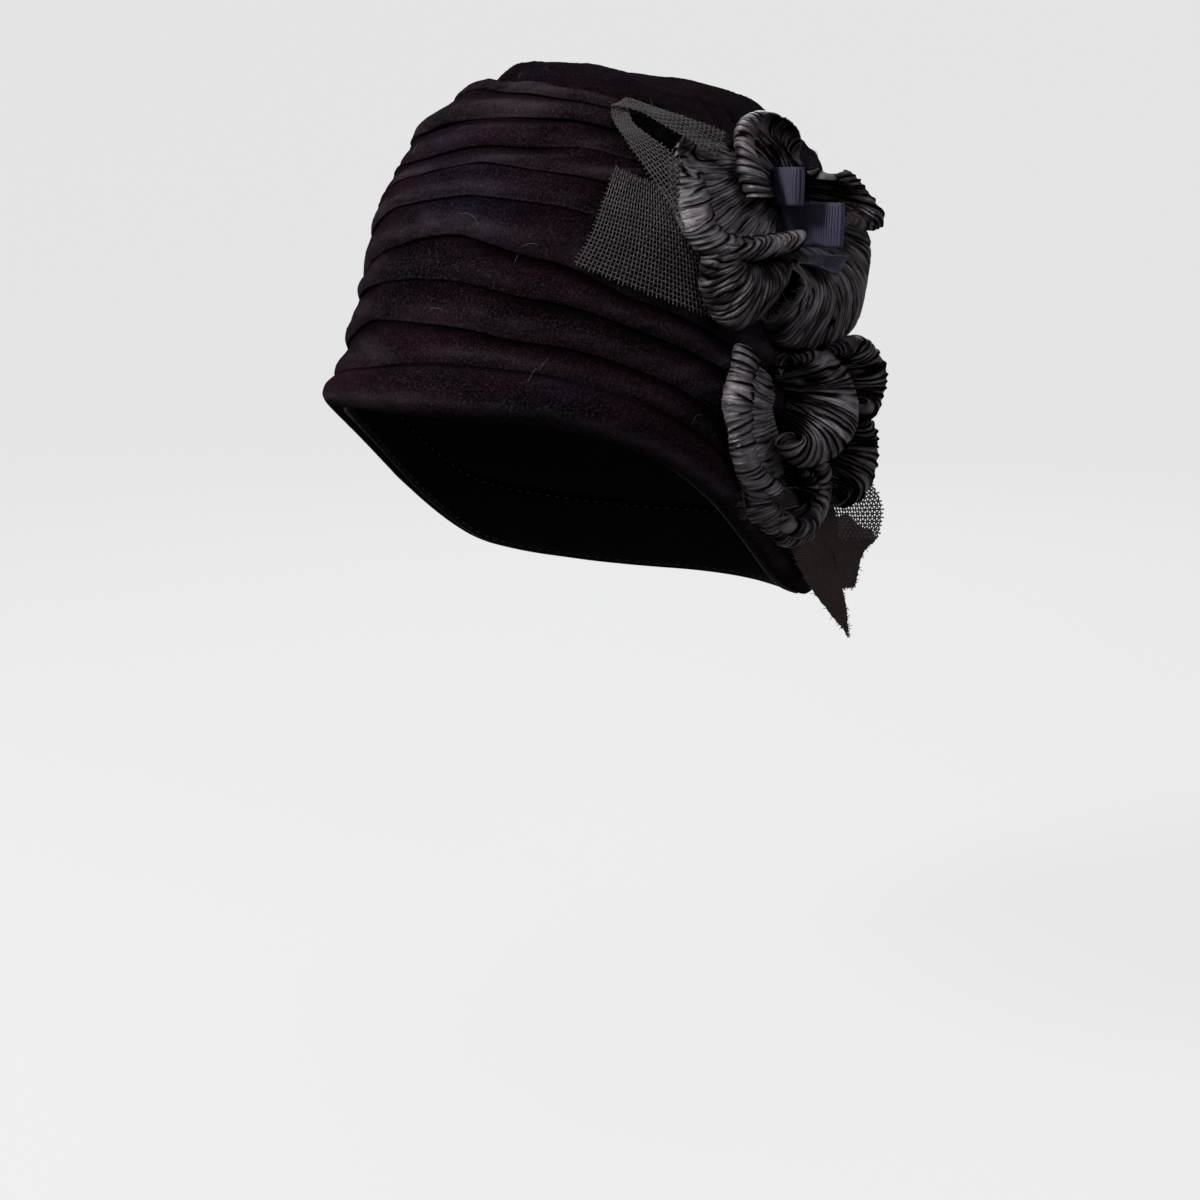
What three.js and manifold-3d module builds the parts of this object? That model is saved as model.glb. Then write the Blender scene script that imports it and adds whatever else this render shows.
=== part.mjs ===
// A draped velvet toque with a spray of two pleated taffeta roses, open net and ribbon loops.
// Millimetres, +Z up. The wearer faces -Y and the spray is at the wearer's left, on +X.
// The origin is the inside of the crown's top, where the hat sits on a head.

import * as THREE from 'three';
import Module from 'manifold-3d';

const wasm = await Module();
wasm.setup();

// Crown: reaches are measured at brow level, from the hat's upright axis to the crown's base.
const HALF_WIDTH = 85;
const FRONT_REACH = 100;
const BACK_REACH = 99;
const CROWN_HEIGHT = 109;
const CROWN_LEAN = 13;
const CROWN_WALL = 2.0;

// Folds of the velvet: how far the fullest one stands off the crown's base.
const FOLD_SWELL = 3.4;
const TIP_PUFF = 3.6;
const ROLL_SWELL = 4.6;

// The band inside the rim.
const BAND_WALL = 1.5;
const BAND_HEIGHT = 24;
const BAND_DROP = 2.0;

// Walls of the trimmings and the gap left between pieces.
const PETAL_WALL = 1.6;
const NET_WALL = 1.0;
const RIBBON_WALL = 1.0;
const CLEARANCE = 0.3;

// Roses: azimuth in degrees, height as a share of CROWN_HEIGHT, the rest in millimetres.
const UPPER_ROSE = {
  azimuth: 82, height: 0.505, halfWidth: 28.5, halfHeight: 40, standOff: 28,
  curlRadius: 4.6, pleatDepth: 0.8,
};
const LOWER_ROSE = {
  azimuth: 84, height: -0.13, halfWidth: 24, halfHeight: 33, standOff: 29,
  curlRadius: 4.4, pleatDepth: 0.8,
};

// Ribbon loops: the strips' widths and how far each loop opens.
const SMALL_LOOP_WIDTH = 12;
const SMALL_LOOP_OPENING = 5;
const LARGE_LOOP_WIDTH = 14;
const LARGE_LOOP_OPENING = 4;

// Finish of the facets.
const TURNS = 36;
const PETAL_STEPS = 8;
const CURL_STEPS = 4;

// Facets flatter than this where a trimming was cut are merged.
const FACET_TOLERANCE = 0.06;

const SEAT_HEIGHT = CROWN_HEIGHT - CROWN_WALL;

// Crown outline from nape level to the top: reach is a share of the reach at brow level,
// height a share of CROWN_HEIGHT above the brow.
const PROFILE = [
  { reach: 0.82, height: -0.80 },
  { reach: 0.89, height: -0.55 },
  { reach: 0.965, height: -0.27 },
  { reach: 1.00, height: 0.0 },
  { reach: 0.96, height: 0.14 },
  { reach: 0.915, height: 0.31 },
  { reach: 0.885, height: 0.49 },
  { reach: 0.815, height: 0.67 },
  { reach: 0.69, height: 0.83 },
  { reach: 0.50, height: 0.945 },
  { reach: 0.26, height: 0.99 },
  { reach: 0.0, height: 1.0 },
];

// Rim: level over the brow, sweeping down past the ears to the nape.
const RIM = [
  { azimuth: 0, height: 0.0 },
  { azimuth: 30, height: -0.008 },
  { azimuth: 48, height: -0.055 },
  { azimuth: 60, height: -0.14 },
  { azimuth: 70, height: -0.25 },
  { azimuth: 78, height: -0.36 },
  { azimuth: 84, height: -0.46 },
  { azimuth: 90, height: -0.55 },
  { azimuth: 105, height: -0.63 },
  { azimuth: 122, height: -0.68 },
  { azimuth: 145, height: -0.725 },
  { azimuth: 180, height: -0.73 },
];

// How far the rim's corners are rounded, in degrees either way.
const RIM_SOFTNESS = 14;
const RIM_SAMPLES = 7;

// Folds, lowest first. lip is each fold's lower edge as a share of the way from rim to top,
// swell a share of FOLD_SWELL, both at the azimuths in STATIONS.
const STATIONS = [-150, -95, -40, -15, 10, 30, 50, 80, 120, 160];
const FOLDS = [
  {
    name: 'over_roll',
    lip: [0.072, 0.065, 0.055, 0.073, 0.091, 0.084, 0.081, 0.075, 0.070, 0.070],
    swell: [0.5, 0.5, 0.6, 0.6, 0.6, 0.5, 0.4, 0.4, 0.5, 0.5],
  },
  {
    name: 'brow',
    lip: [0.130, 0.125, 0.120, 0.170, 0.160, 0.143, 0.133, 0.135, 0.140, 0.135],
    swell: [0.6, 0.6, 0.8, 0.8, 0.7, 0.6, 0.5, 0.4, 0.5, 0.6],
  },
  {
    name: 'temple',
    lip: [0.215, 0.210, 0.225, 0.243, 0.245, 0.221, 0.206, 0.215, 0.220, 0.215],
    swell: [0.7, 0.7, 0.8, 0.8, 0.8, 0.7, 0.6, 0.4, 0.6, 0.7],
  },
  {
    name: 'arched',
    lip: [0.285, 0.280, 0.255, 0.312, 0.334, 0.298, 0.255, 0.270, 0.290, 0.290],
    swell: [0.7, 0.7, 0.7, 0.8, 0.8, 0.7, 0.5, 0.4, 0.6, 0.7],
  },
  {
    name: 'middle',
    lip: [0.370, 0.360, 0.350, 0.388, 0.405, 0.392, 0.365, 0.355, 0.370, 0.375],
    swell: [0.6, 0.7, 0.8, 0.8, 0.8, 0.7, 0.6, 0.4, 0.6, 0.6],
  },
  {
    name: 'narrow',
    lip: [0.430, 0.430, 0.415, 0.445, 0.469, 0.457, 0.445, 0.430, 0.435, 0.440],
    swell: [0.5, 0.5, 0.6, 0.6, 0.6, 0.5, 0.5, 0.4, 0.5, 0.5],
  },
  {
    name: 'upper',
    lip: [0.500, 0.490, 0.475, 0.493, 0.517, 0.509, 0.497, 0.490, 0.500, 0.500],
    swell: [0.6, 0.6, 0.7, 0.7, 0.7, 0.6, 0.5, 0.4, 0.6, 0.6],
  },
  {
    name: 'deep',
    lip: [0.570, 0.565, 0.540, 0.580, 0.585, 0.580, 0.565, 0.550, 0.560, 0.570],
    swell: [0.9, 1.0, 1.3, 1.2, 1.1, 1.0, 0.9, 0.6, 1.0, 0.9],
  },
  {
    name: 'slanting',
    lip: [0.665, 0.660, 0.655, 0.672, 0.650, 0.630, 0.605, 0.600, 0.630, 0.660],
    swell: [0.7, 0.9, 1.3, 1.0, 0.9, 0.8, 0.7, 0.6, 0.9, 0.9],
  },
  {
    name: 'tip',
    lip: [0.750, 0.745, 0.745, 0.725, 0.700, 0.665, 0.640, 0.640, 0.690, 0.740],
    swell: [0.8, 0.8, 0.8, 0.8, 0.6, 0.2, -0.4, -0.8, 0.0, 0.7],
  },
];

// Rows of facets on each fold, as shares of its height above its lip.
const FOLD_ROWS = [0, 0.18, 0.52];
const TIP_ROWS = [0.10, 0.22, 0.40, 0.60, 0.80];
const INNER_ROWS = 4;

// The rolled edge's section: down is a share of the roll's height from its top,
// out a share of ROLL_SWELL off the crown's base.
const ROLL_SECTION = [
  { down: 0.00, out: 0.06 },
  { down: 0.16, out: 0.50 },
  { down: 0.38, out: 0.86 },
  { down: 0.64, out: 1.00 },
  { down: 0.86, out: 0.80 },
  { down: 1.00, out: 0.34 },
];

// Petals: root and lip are the petal's two edges, each point in shares of its rose,
// across of halfWidth, up of halfHeight and out of standOff. belly swells the cloth
// between them and curl is how far the lip rolls over, in turns, at the first and last
// point of the lip. The lip rolls back towards the crown, or with forward set towards the
// rose's face.
const UPPER_PETALS = [
  {
    name: 'upper_rose_petal_1', forward: true, belly: 0.05, curl: [0.10, 0.95],
    root: [[-0.24, 0.62, 0.02], [-0.10, 0.38, 0.00], [0.20, 0.12, 0.02]],
    lip: [[-0.90, 0.78, 0.26], [-1.06, 0.60, 0.34], [-1.06, 0.28, 0.46], [-0.96, -0.02, 0.60],
      [-0.66, -0.10, 0.80], [-0.16, -0.06, 0.92]],
  },
  {
    name: 'upper_rose_petal_2', forward: true, belly: 0.14, curl: [0.90, 0.25],
    root: [[0.18, 0.26, 0.04], [0.40, 0.34, 0.02], [0.72, 0.38, 0.02]],
    lip: [[-0.34, 0.30, 0.60], [-0.44, 0.56, 0.54], [-0.34, 0.88, 0.42], [0.20, 1.02, 0.38],
      [0.70, 0.85, 0.42], [0.80, 0.52, 0.46]],
  },
  {
    name: 'upper_rose_petal_3', belly: 0.20, curl: [0.55, 0.15],
    root: [[0.62, 0.52, 0.02], [0.74, 0.32, 0.00], [0.78, 0.10, 0.02]],
    lip: [[0.56, 0.50, 0.60], [0.78, 0.42, 0.80], [0.94, 0.14, 1.00], [0.60, 0.08, 0.95],
      [0.42, 0.14, 0.78]],
  },
  {
    name: 'upper_rose_petal_4', belly: 0.34, curl: [0.45, 0.45],
    root: [[-0.52, -0.12, 0.04], [-0.30, -0.14, 0.02], [-0.04, -0.20, 0.02]],
    lip: [[-0.90, -0.14, 0.46], [-0.92, -0.42, 0.48], [-0.78, -0.68, 0.50], [-0.52, -0.78, 0.54],
      [-0.24, -0.60, 0.60], [-0.12, -0.26, 0.64]],
  },
  {
    name: 'upper_rose_petal_5', belly: 0.42, curl: [0.35, 0.35],
    root: [[0.14, -0.24, 0.04], [0.50, -0.12, 0.02], [0.94, 0.00, 0.02]],
    lip: [[-0.10, -0.76, 0.34], [0.10, -0.96, 0.36], [0.52, -1.00, 0.44], [1.02, -0.84, 0.56],
      [1.24, -0.50, 0.62], [1.18, -0.10, 0.60]],
  },
];
const LOWER_PETALS = [
  {
    name: 'lower_rose_petal_1', forward: true, belly: 0.10, curl: [0.95, 0.80],
    root: [[-0.16, 0.70, 0.02], [-0.08, 0.26, 0.00], [0.20, -0.20, 0.02]],
    lip: [[-0.48, 0.92, 0.40], [-0.82, 0.64, 0.46], [-0.84, 0.22, 0.50], [-0.66, -0.20, 0.52],
      [-0.24, -0.42, 0.54]],
  },
  {
    name: 'lower_rose_petal_2', belly: 0.22, curl: [0.50, 0.85],
    root: [[-0.14, 0.80, 0.04], [0.06, 0.52, 0.02], [0.06, 0.20, 0.04]],
    lip: [[-0.20, 0.96, 0.56], [0.26, 0.90, 0.76], [0.34, 0.52, 0.90], [0.22, 0.08, 0.90],
      [-0.12, -0.10, 0.76], [-0.30, 0.04, 0.56]],
  },
  {
    name: 'lower_rose_petal_3', belly: 0.22, curl: [0.55, 0.55],
    root: [[0.62, 0.84, 0.02], [0.72, 0.66, 0.02], [0.76, 0.46, 0.02]],
    lip: [[0.50, 0.94, 0.60], [0.92, 1.00, 0.82], [1.02, 0.76, 0.92], [0.90, 0.52, 0.90],
      [0.62, 0.46, 0.82]],
  },
  {
    name: 'lower_rose_petal_4', belly: 0.30, curl: [0.45, 0.45],
    root: [[0.72, 0.26, 0.02], [0.82, -0.06, 0.02], [0.84, -0.36, 0.02]],
    lip: [[0.56, 0.44, 0.72], [0.90, 0.22, 0.88], [1.02, -0.20, 0.92], [0.92, -0.54, 0.86],
      [0.62, -0.60, 0.76]],
  },
  {
    name: 'lower_rose_petal_5', forward: true, belly: 0.24, curl: [0.60, 0.90],
    root: [[0.16, -0.30, 0.04], [0.34, -0.42, 0.02], [0.52, -0.52, 0.04]],
    lip: [[0.00, -0.14, 0.54], [0.36, -0.18, 0.70], [0.46, -0.50, 0.76], [0.26, -0.78, 0.72],
      [-0.10, -0.66, 0.58]],
  },
  {
    name: 'lower_rose_petal_6', belly: 0.20, curl: [0.10, 0.30],
    root: [[-0.20, -0.42, 0.02], [0.10, -0.58, 0.00], [0.46, -0.70, 0.02]],
    lip: [[-0.70, -0.30, 0.28], [-0.58, -0.62, 0.38], [-0.20, -0.90, 0.44], [0.24, -1.06, 0.50],
      [0.60, -1.00, 0.56]],
  },
];

// Flat net: corners by azimuth in degrees and height as a share of CROWN_HEIGHT, down its
// left edge and down its right edge. lift is a share of FOLD_SWELL above the velvet.
const NET_TAB = {
  name: 'net_tab', cells: [5, 5],
  rows: [
    { left: [44, 0.67, 0.0], right: [62, 0.58, 0.2] },
    { left: [42, 0.58, 0.0], right: [64, 0.50, 0.3] },
    { left: [40, 0.49, 0.0], right: [66, 0.38, 0.2] },
    { left: [37, 0.41, 0.0], right: [68, 0.25, 0.1] },
  ],
};
const NET_LOOP = {
  name: 'net_loop', cells: [1, 10],
  rows: [
    { left: [59, 0.50, 0.9], right: [66, 0.58, 1.1] },
    { left: [51, 0.66, 0.6], right: [57, 0.70, 0.8] },
    { left: [43.5, 0.78, 0.3], right: [49, 0.78, 0.5] },
    { left: [42, 0.84, 0.4], right: [49, 0.81, 0.9] },
    { left: [46, 0.87, 0.7], right: [51, 0.82, 1.1] },
    { left: [57, 0.83, 1.4], right: [59, 0.77, 1.5] },
    { left: [70, 0.75, 1.8], right: [67, 0.68, 1.6] },
  ],
};

// Hanging net tails: azimuth in degrees, height as a share of CROWN_HEIGHT and reach as a
// share of the crown's reach at brow level.
const NET_TAIL_POINT = {
  name: 'net_tail_point', cells: [2, 5],
  rows: [
    { left: [82, -0.20, 0.96], right: [98, -0.22, 0.96] },
    { left: [84, -0.29, 0.99], right: [100, -0.34, 1.06] },
    { left: [87, -0.38, 0.99], right: [103, -0.44, 1.06] },
    { left: [93.5, -0.54, 1.005], right: [105.5, -0.56, 1.05] },
    { left: [101, -0.68, 1.05], right: [107, -0.67, 1.075] },
    { left: [106.0, -0.768, 1.09], right: [107.6, -0.764, 1.095] },
  ],
};
const NET_TAIL_SQUARE = {
  name: 'net_tail_square', cells: [2, 5],
  rows: [
    { left: [100, -0.18, 0.97], right: [112, -0.18, 0.98] },
    { left: [102, -0.30, 1.10], right: [113, -0.32, 1.16] },
    { left: [105, -0.42, 1.09], right: [114.5, -0.46, 1.165] },
    { left: [108, -0.52, 1.07], right: [113, -0.52, 1.11] },
    { left: [109.5, -0.63, 1.04], right: [112, -0.625, 1.08] },
  ],
};
const NET_HOLE = 0.56;

// Ribbon loops on the upper rose: root and tip of each loop in shares of the rose.
const RIBBON_LOOPS = [
  {
    name: 'ribbon_loop_small', width: SMALL_LOOP_WIDTH, opening: SMALL_LOOP_OPENING,
    root: [0.30, 0.36, 0.02], tip: [-0.10, 0.34, 0.76],
  },
  {
    name: 'ribbon_loop_large', width: LARGE_LOOP_WIDTH, opening: LARGE_LOOP_OPENING,
    root: [0.34, 0.06, 0.02], tip: [0.20, 0.04, 0.96],
  },
];
const RIBBON_TAIL = {
  name: 'ribbon_tail', curl: [0, 0], belly: 0.0,
  root: [[0.30, -0.24, 0.02], [0.42, -0.22, 0.02], [0.54, -0.18, 0.02]],
  lip: [[0.10, -0.28, 0.74], [0.28, -0.34, 0.80], [0.40, -0.20, 0.84]],
};

const VELVET = new THREE.MeshStandardMaterial({ color: 0x1a1418, roughness: 0.95, metalness: 0 });
VELVET.name = 'velvet';
const TAFFETA = new THREE.MeshStandardMaterial({ color: 0x2b262b, roughness: 0.5, metalness: 0 });
TAFFETA.name = 'taffeta';
const NET = new THREE.MeshStandardMaterial({ color: 0x222022, roughness: 0.85, metalness: 0 });
NET.name = 'net';
const GROSGRAIN = new THREE.MeshStandardMaterial({ color: 0x161728, roughness: 0.7, metalness: 0 });
GROSGRAIN.name = 'grosgrain';

const radians = THREE.MathUtils.degToRad;

// Smooth curve through equally spaced values, at a place from 0 to 1.
function splineValue(values, place) {
  const last = values.length - 1;
  const scaled = THREE.MathUtils.clamp(place, 0, 1) * last;
  const i = Math.min(Math.floor(scaled), last - 1);
  const f = scaled - i;
  const p1 = values[i];
  const p2 = values[i + 1];
  const p0 = i > 0 ? values[i - 1] : 2 * p1 - p2;
  const p3 = i < last - 1 ? values[i + 2] : 2 * p2 - p1;
  const a = 2 * p0 - 5 * p1 + 4 * p2 - p3;
  const b = -p0 + 3 * p1 - 3 * p2 + p3;
  return 0.5 * (2 * p1 + (p2 - p0) * f + a * f * f + b * f * f * f);
}

// Smooth curve through points given as arrays of three numbers.
function splinePoint(points, place) {
  return [0, 1, 2].map((axis) => splineValue(points.map((point) => point[axis]), place));
}

// Straight runs between values at rising keys.
function blend(keys, values, at) {
  let i = 0;
  while (i < keys.length - 2 && at > keys[i + 1]) i += 1;
  const f = THREE.MathUtils.clamp((at - keys[i]) / (keys[i + 1] - keys[i]), 0, 1);
  return THREE.MathUtils.lerp(values[i], values[i + 1], f);
}

// Value round the crown from a row given at STATIONS, eased between them.
function aroundCrown(row, azimuth) {
  let turned = azimuth;
  while (turned < STATIONS[0]) turned += 360;
  while (turned >= STATIONS[0] + 360) turned -= 360;
  const keys = [...STATIONS, STATIONS[0] + 360];
  let i = 0;
  while (i < keys.length - 2 && turned > keys[i + 1]) i += 1;
  const f = (turned - keys[i]) / (keys[i + 1] - keys[i]);
  const eased = 0.5 * f + 0.5 * f * f * (3 - 2 * f);
  return THREE.MathUtils.lerp(row[i], row[(i + 1) % row.length], eased);
}

// The crown's outline measured along its length, so that rows of folds keep their widths.
const OUTLINE = (() => {
  const steps = 600;
  const meanReach = (HALF_WIDTH + FRONT_REACH) / 2;
  const samples = [];
  let length = 0;
  for (let i = 0; i <= steps; i += 1) {
    const reach = splineValue(PROFILE.map((row) => row.reach), i / steps);
    const height = splineValue(PROFILE.map((row) => row.height), i / steps);
    if (i > 0) {
      const before = samples[i - 1];
      length += Math.hypot((reach - before.reach) * meanReach,
        (height - before.height) * CROWN_HEIGHT);
    }
    samples.push({ length, reach: Math.max(reach, 0), height });
  }
  return samples;
})();
const TOP_LENGTH = OUTLINE[OUTLINE.length - 1].length;

function outlineAt(length) {
  const wanted = THREE.MathUtils.clamp(length, 0, TOP_LENGTH);
  let low = 0;
  let high = OUTLINE.length - 1;
  while (high - low > 1) {
    const middle = (low + high) >> 1;
    if (OUTLINE[middle].length > wanted) high = middle;
    else low = middle;
  }
  const a = OUTLINE[low];
  const b = OUTLINE[high];
  const f = (wanted - a.length) / (b.length - a.length);
  return {
    reach: THREE.MathUtils.lerp(a.reach, b.reach, f),
    height: THREE.MathUtils.lerp(a.height, b.height, f),
  };
}

function lengthAtHeight(height) {
  const found = OUTLINE.findIndex((sample) => sample.height >= height);
  return found < 0 ? TOP_LENGTH : OUTLINE[found].length;
}

const RIM_LENGTHS = RIM.map((row) => ({ ...row, length: lengthAtHeight(row.height) }));

function rimLength(azimuth) {
  const keys = RIM_LENGTHS.map((row) => row.azimuth);
  const lengths = RIM_LENGTHS.map((row) => row.length);
  let total = 0;
  for (let i = 0; i < RIM_SAMPLES; i += 1) {
    const near = azimuth + RIM_SOFTNESS * ((2 * i) / (RIM_SAMPLES - 1) - 1);
    total += blend(keys, lengths, Math.abs(((near + 540) % 360) - 180));
  }
  return total / RIM_SAMPLES;
}

// A point on the crown's smooth base.
function basePoint(azimuth, length) {
  const { reach, height } = outlineAt(length);
  const angle = radians(azimuth);
  const depth = Math.cos(angle) > 0 ? FRONT_REACH : BACK_REACH;
  return new THREE.Vector3(
    HALF_WIDTH * reach * Math.sin(angle),
    -depth * reach * Math.cos(angle) + CROWN_LEAN * (Math.max(height, 0) - 1),
    CROWN_HEIGHT * height - SEAT_HEIGHT,
  );
}

function baseNormal(azimuth, length) {
  const along = Math.min(length, TOP_LENGTH - 1.5);
  const turn = basePoint(azimuth + 0.5, along).sub(basePoint(azimuth - 0.5, along));
  const rise = basePoint(azimuth, along + 1).sub(basePoint(azimuth, Math.max(along - 1, 0)));
  return turn.cross(rise).normalize();
}

// A point off the crown's base by a distance along its normal.
function crownPoint(azimuth, length, off) {
  const point = basePoint(azimuth, length);
  return point.addScaledVector(baseNormal(azimuth, length), off);
}

// How far the velvet stands off the base on a fold, level at its top, full just above its lip.
function foldShape(upFromLip) {
  const down = 1 - upFromLip;
  return Math.sin(Math.PI * Math.min(down, 1) ** 1.6) ** 0.8;
}

function lipShare(fold, azimuth) {
  return aroundCrown(FOLDS[fold].lip, azimuth);
}

// The velvet's swell off the base anywhere above the rolled edge.
function velvetSwell(azimuth, share) {
  let fold = 0;
  while (fold < FOLDS.length - 1 && share >= lipShare(fold + 1, azimuth)) fold += 1;
  const low = lipShare(fold, azimuth);
  const swell = aroundCrown(FOLDS[fold].swell, azimuth) * FOLD_SWELL;
  if (fold === FOLDS.length - 1) {
    const up = THREE.MathUtils.clamp((share - low) / (1 - low), 0, 1);
    const rise = Math.sin(Math.PI * Math.min(up * 2.2, 0.5) ** 0.8 / 1.15);
    const puff = TIP_PUFF * Math.cos(radians(azimuth + 15)) * (1 - up);
    return rise * (swell * (1 - up) + puff);
  }
  const high = lipShare(fold + 1, azimuth);
  return swell * foldShape(THREE.MathUtils.clamp((share - low) / (high - low), 0, 1));
}

function lengthAtShare(azimuth, share) {
  const rim = rimLength(azimuth);
  return rim + (TOP_LENGTH - rim) * share;
}

function rollSection(down) {
  return blend(ROLL_SECTION.map((row) => row.down), ROLL_SECTION.map((row) => row.out), down);
}

// Off the base to the outside of the hat, roll included.
function outsideSwell(azimuth, share) {
  const seam = lipShare(0, azimuth);
  if (share >= seam) return velvetSwell(azimuth, share);
  return ROLL_SWELL * rollSection(1 - share / seam);
}

// Closed mesh as a manifold solid, facing outwards.
function solidFrom(positions, triangles) {
  const build = (order) => new wasm.Manifold(new wasm.Mesh({
    numProp: 3,
    vertProperties: Float32Array.from(positions.flatMap((point) => [point.x, point.y, point.z])),
    triVerts: Uint32Array.from(order),
  }));
  const solid = build(triangles);
  if (solid.volume() > 0) return solid;
  const flipped = [];
  for (let i = 0; i < triangles.length; i += 3) {
    flipped.push(triangles[i], triangles[i + 2], triangles[i + 1]);
  }
  return build(flipped);
}

// A body through rows of points, each row one ring round the crown, its facets split along
// their shorter diagonals. With closed true the last row joins the first, otherwise both ends
// are fanned to a point.
function ringSolid(rows, closed) {
  const positions = [];
  const triangles = [];
  const count = rows[0].length;
  rows.forEach((row) => positions.push(...row));
  const at = (row, turn) => (row % rows.length) * count + (turn % count);
  const spans = closed ? rows.length : rows.length - 1;
  for (let row = 0; row < spans; row += 1) {
    for (let turn = 0; turn < count; turn += 1) {
      const a = at(row, turn);
      const b = at(row, turn + 1);
      const c = at(row + 1, turn + 1);
      const d = at(row + 1, turn);
      const straight = positions[a].distanceTo(positions[c]);
      if (straight <= positions[b].distanceTo(positions[d])) triangles.push(a, b, c, a, c, d);
      else triangles.push(a, b, d, b, c, d);
    }
  }
  if (!closed) {
    [0, rows.length - 1].forEach((row) => {
      const hub = positions.length;
      const middle = new THREE.Vector3();
      rows[row].forEach((point) => middle.addScaledVector(point, 1 / count));
      positions.push(middle);
      for (let turn = 0; turn < count; turn += 1) {
        const a = at(row, turn);
        const b = at(row, turn + 1);
        if (row === 0) triangles.push(hub, b, a);
        else triangles.push(hub, a, b);
      }
    });
  }
  return solidFrom(positions, triangles);
}

const AZIMUTHS = Array.from({ length: TURNS }, (_, turn) => -180 + (360 * turn) / TURNS);

// One ring of points at a share of the way up, off the base by a distance.
function ring(shareAt, offAt) {
  return AZIMUTHS.map((azimuth) => {
    const share = shareAt(azimuth);
    return crownPoint(azimuth, lengthAtShare(azimuth, share), offAt(azimuth, share));
  });
}

// The seam between two velvet pieces is opened by half the clearance on each side.
function seamShare(azimuth, share, side) {
  return share + (side * CLEARANCE) / 2 / (TOP_LENGTH - rimLength(azimuth));
}

// Velvet rows from a fold's lip upwards, with the given extra thickness.
function foldRing(fold, up, extra, side) {
  const last = fold === FOLDS.length - 1;
  return ring((azimuth) => {
    const low = lipShare(fold, azimuth);
    const high = last ? 1 : lipShare(fold + 1, azimuth);
    return seamShare(azimuth, low + (high - low) * up, side);
  }, (azimuth, share) => outsideSwell(azimuth, share) + extra);
}

const inside = () => -CROWN_WALL;
const bandTopShare = (azimuth) => BAND_HEIGHT / (TOP_LENGTH - rimLength(azimuth));

function buildSideDrape() {
  const tip = FOLDS.length - 1;
  const rows = [];
  for (let fold = 0; fold < tip; fold += 1) {
    FOLD_ROWS.forEach((up) => rows.push(foldRing(fold, up, 0, fold + up === 0 ? 1 : 0)));
  }
  rows.push(ring((azimuth) => seamShare(azimuth, lipShare(tip, azimuth), -1), () => 0));
  for (let row = 0; row <= INNER_ROWS; row += 1) {
    rows.push(ring((azimuth) => THREE.MathUtils.lerp(
      seamShare(azimuth, lipShare(tip, azimuth), -1), bandTopShare(azimuth), row / INNER_ROWS,
    ), inside));
  }
  rows.push(ring((azimuth) => seamShare(azimuth, lipShare(0, azimuth), 1), inside));
  return ringSolid(rows, true);
}

function buildCrownTip() {
  const tip = FOLDS.length - 1;
  const rows = TIP_ROWS.map((up) => foldRing(tip, up, 0, 1)).reverse();
  rows.push(ring((azimuth) => seamShare(azimuth, lipShare(tip, azimuth), 1), () => 0));
  [0, 0.35, 0.7].forEach((up) => {
    rows.push(ring((azimuth) => {
      const low = seamShare(azimuth, lipShare(tip, azimuth), 1);
      return low + (1 - low) * up;
    }, inside));
  });
  return ringSolid(rows, false);
}

function buildRimRoll() {
  const seam = (azimuth) => seamShare(azimuth, lipShare(0, azimuth), -1);
  const rows = ROLL_SECTION.map(({ down, out }) => ring(
    (azimuth) => seam(azimuth) * (1 - down), () => ROLL_SWELL * out));
  [0, 0.5, 1].forEach((up) => rows.push(ring((azimuth) => seam(azimuth) * up, inside)));
  return ringSolid(rows, true);
}

// The band lies along the inside faces of the roll and the drape, row by row.
function buildInnerBand() {
  const shares = [
    (azimuth) => -BAND_DROP / (TOP_LENGTH - rimLength(azimuth)),
    () => 0,
    (azimuth) => lipShare(0, azimuth) / 2,
    (azimuth) => lipShare(0, azimuth),
    bandTopShare,
  ];
  const outside = CROWN_WALL + CLEARANCE;
  const face = (off) => shares.map((shareAt) => ring(shareAt, () => -off));
  return ringSolid([...face(outside), ...face(outside + BAND_WALL).reverse()], true);
}

// Everything that trimmings keep clear of: the hat's outside with the clearance added.
function buildKeepOut() {
  const rows = [AZIMUTHS.map((azimuth) => crownPoint(
    azimuth, rimLength(azimuth) - BAND_DROP - CLEARANCE, CLEARANCE))];
  [...ROLL_SECTION].reverse().forEach(({ down, out }) => rows.push(ring(
    (azimuth) => lipShare(0, azimuth) * (1 - down), () => ROLL_SWELL * out + CLEARANCE)));
  FOLDS.slice(0, -1).forEach((_, fold) => FOLD_ROWS.forEach((up) => {
    rows.push(foldRing(fold, up, CLEARANCE, 0));
  }));
  const tip = FOLDS.length - 1;
  [0, ...TIP_ROWS].forEach((up) => rows.push(foldRing(tip, up, CLEARANCE, 0)));
  return ringSolid(rows, false);
}

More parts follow.
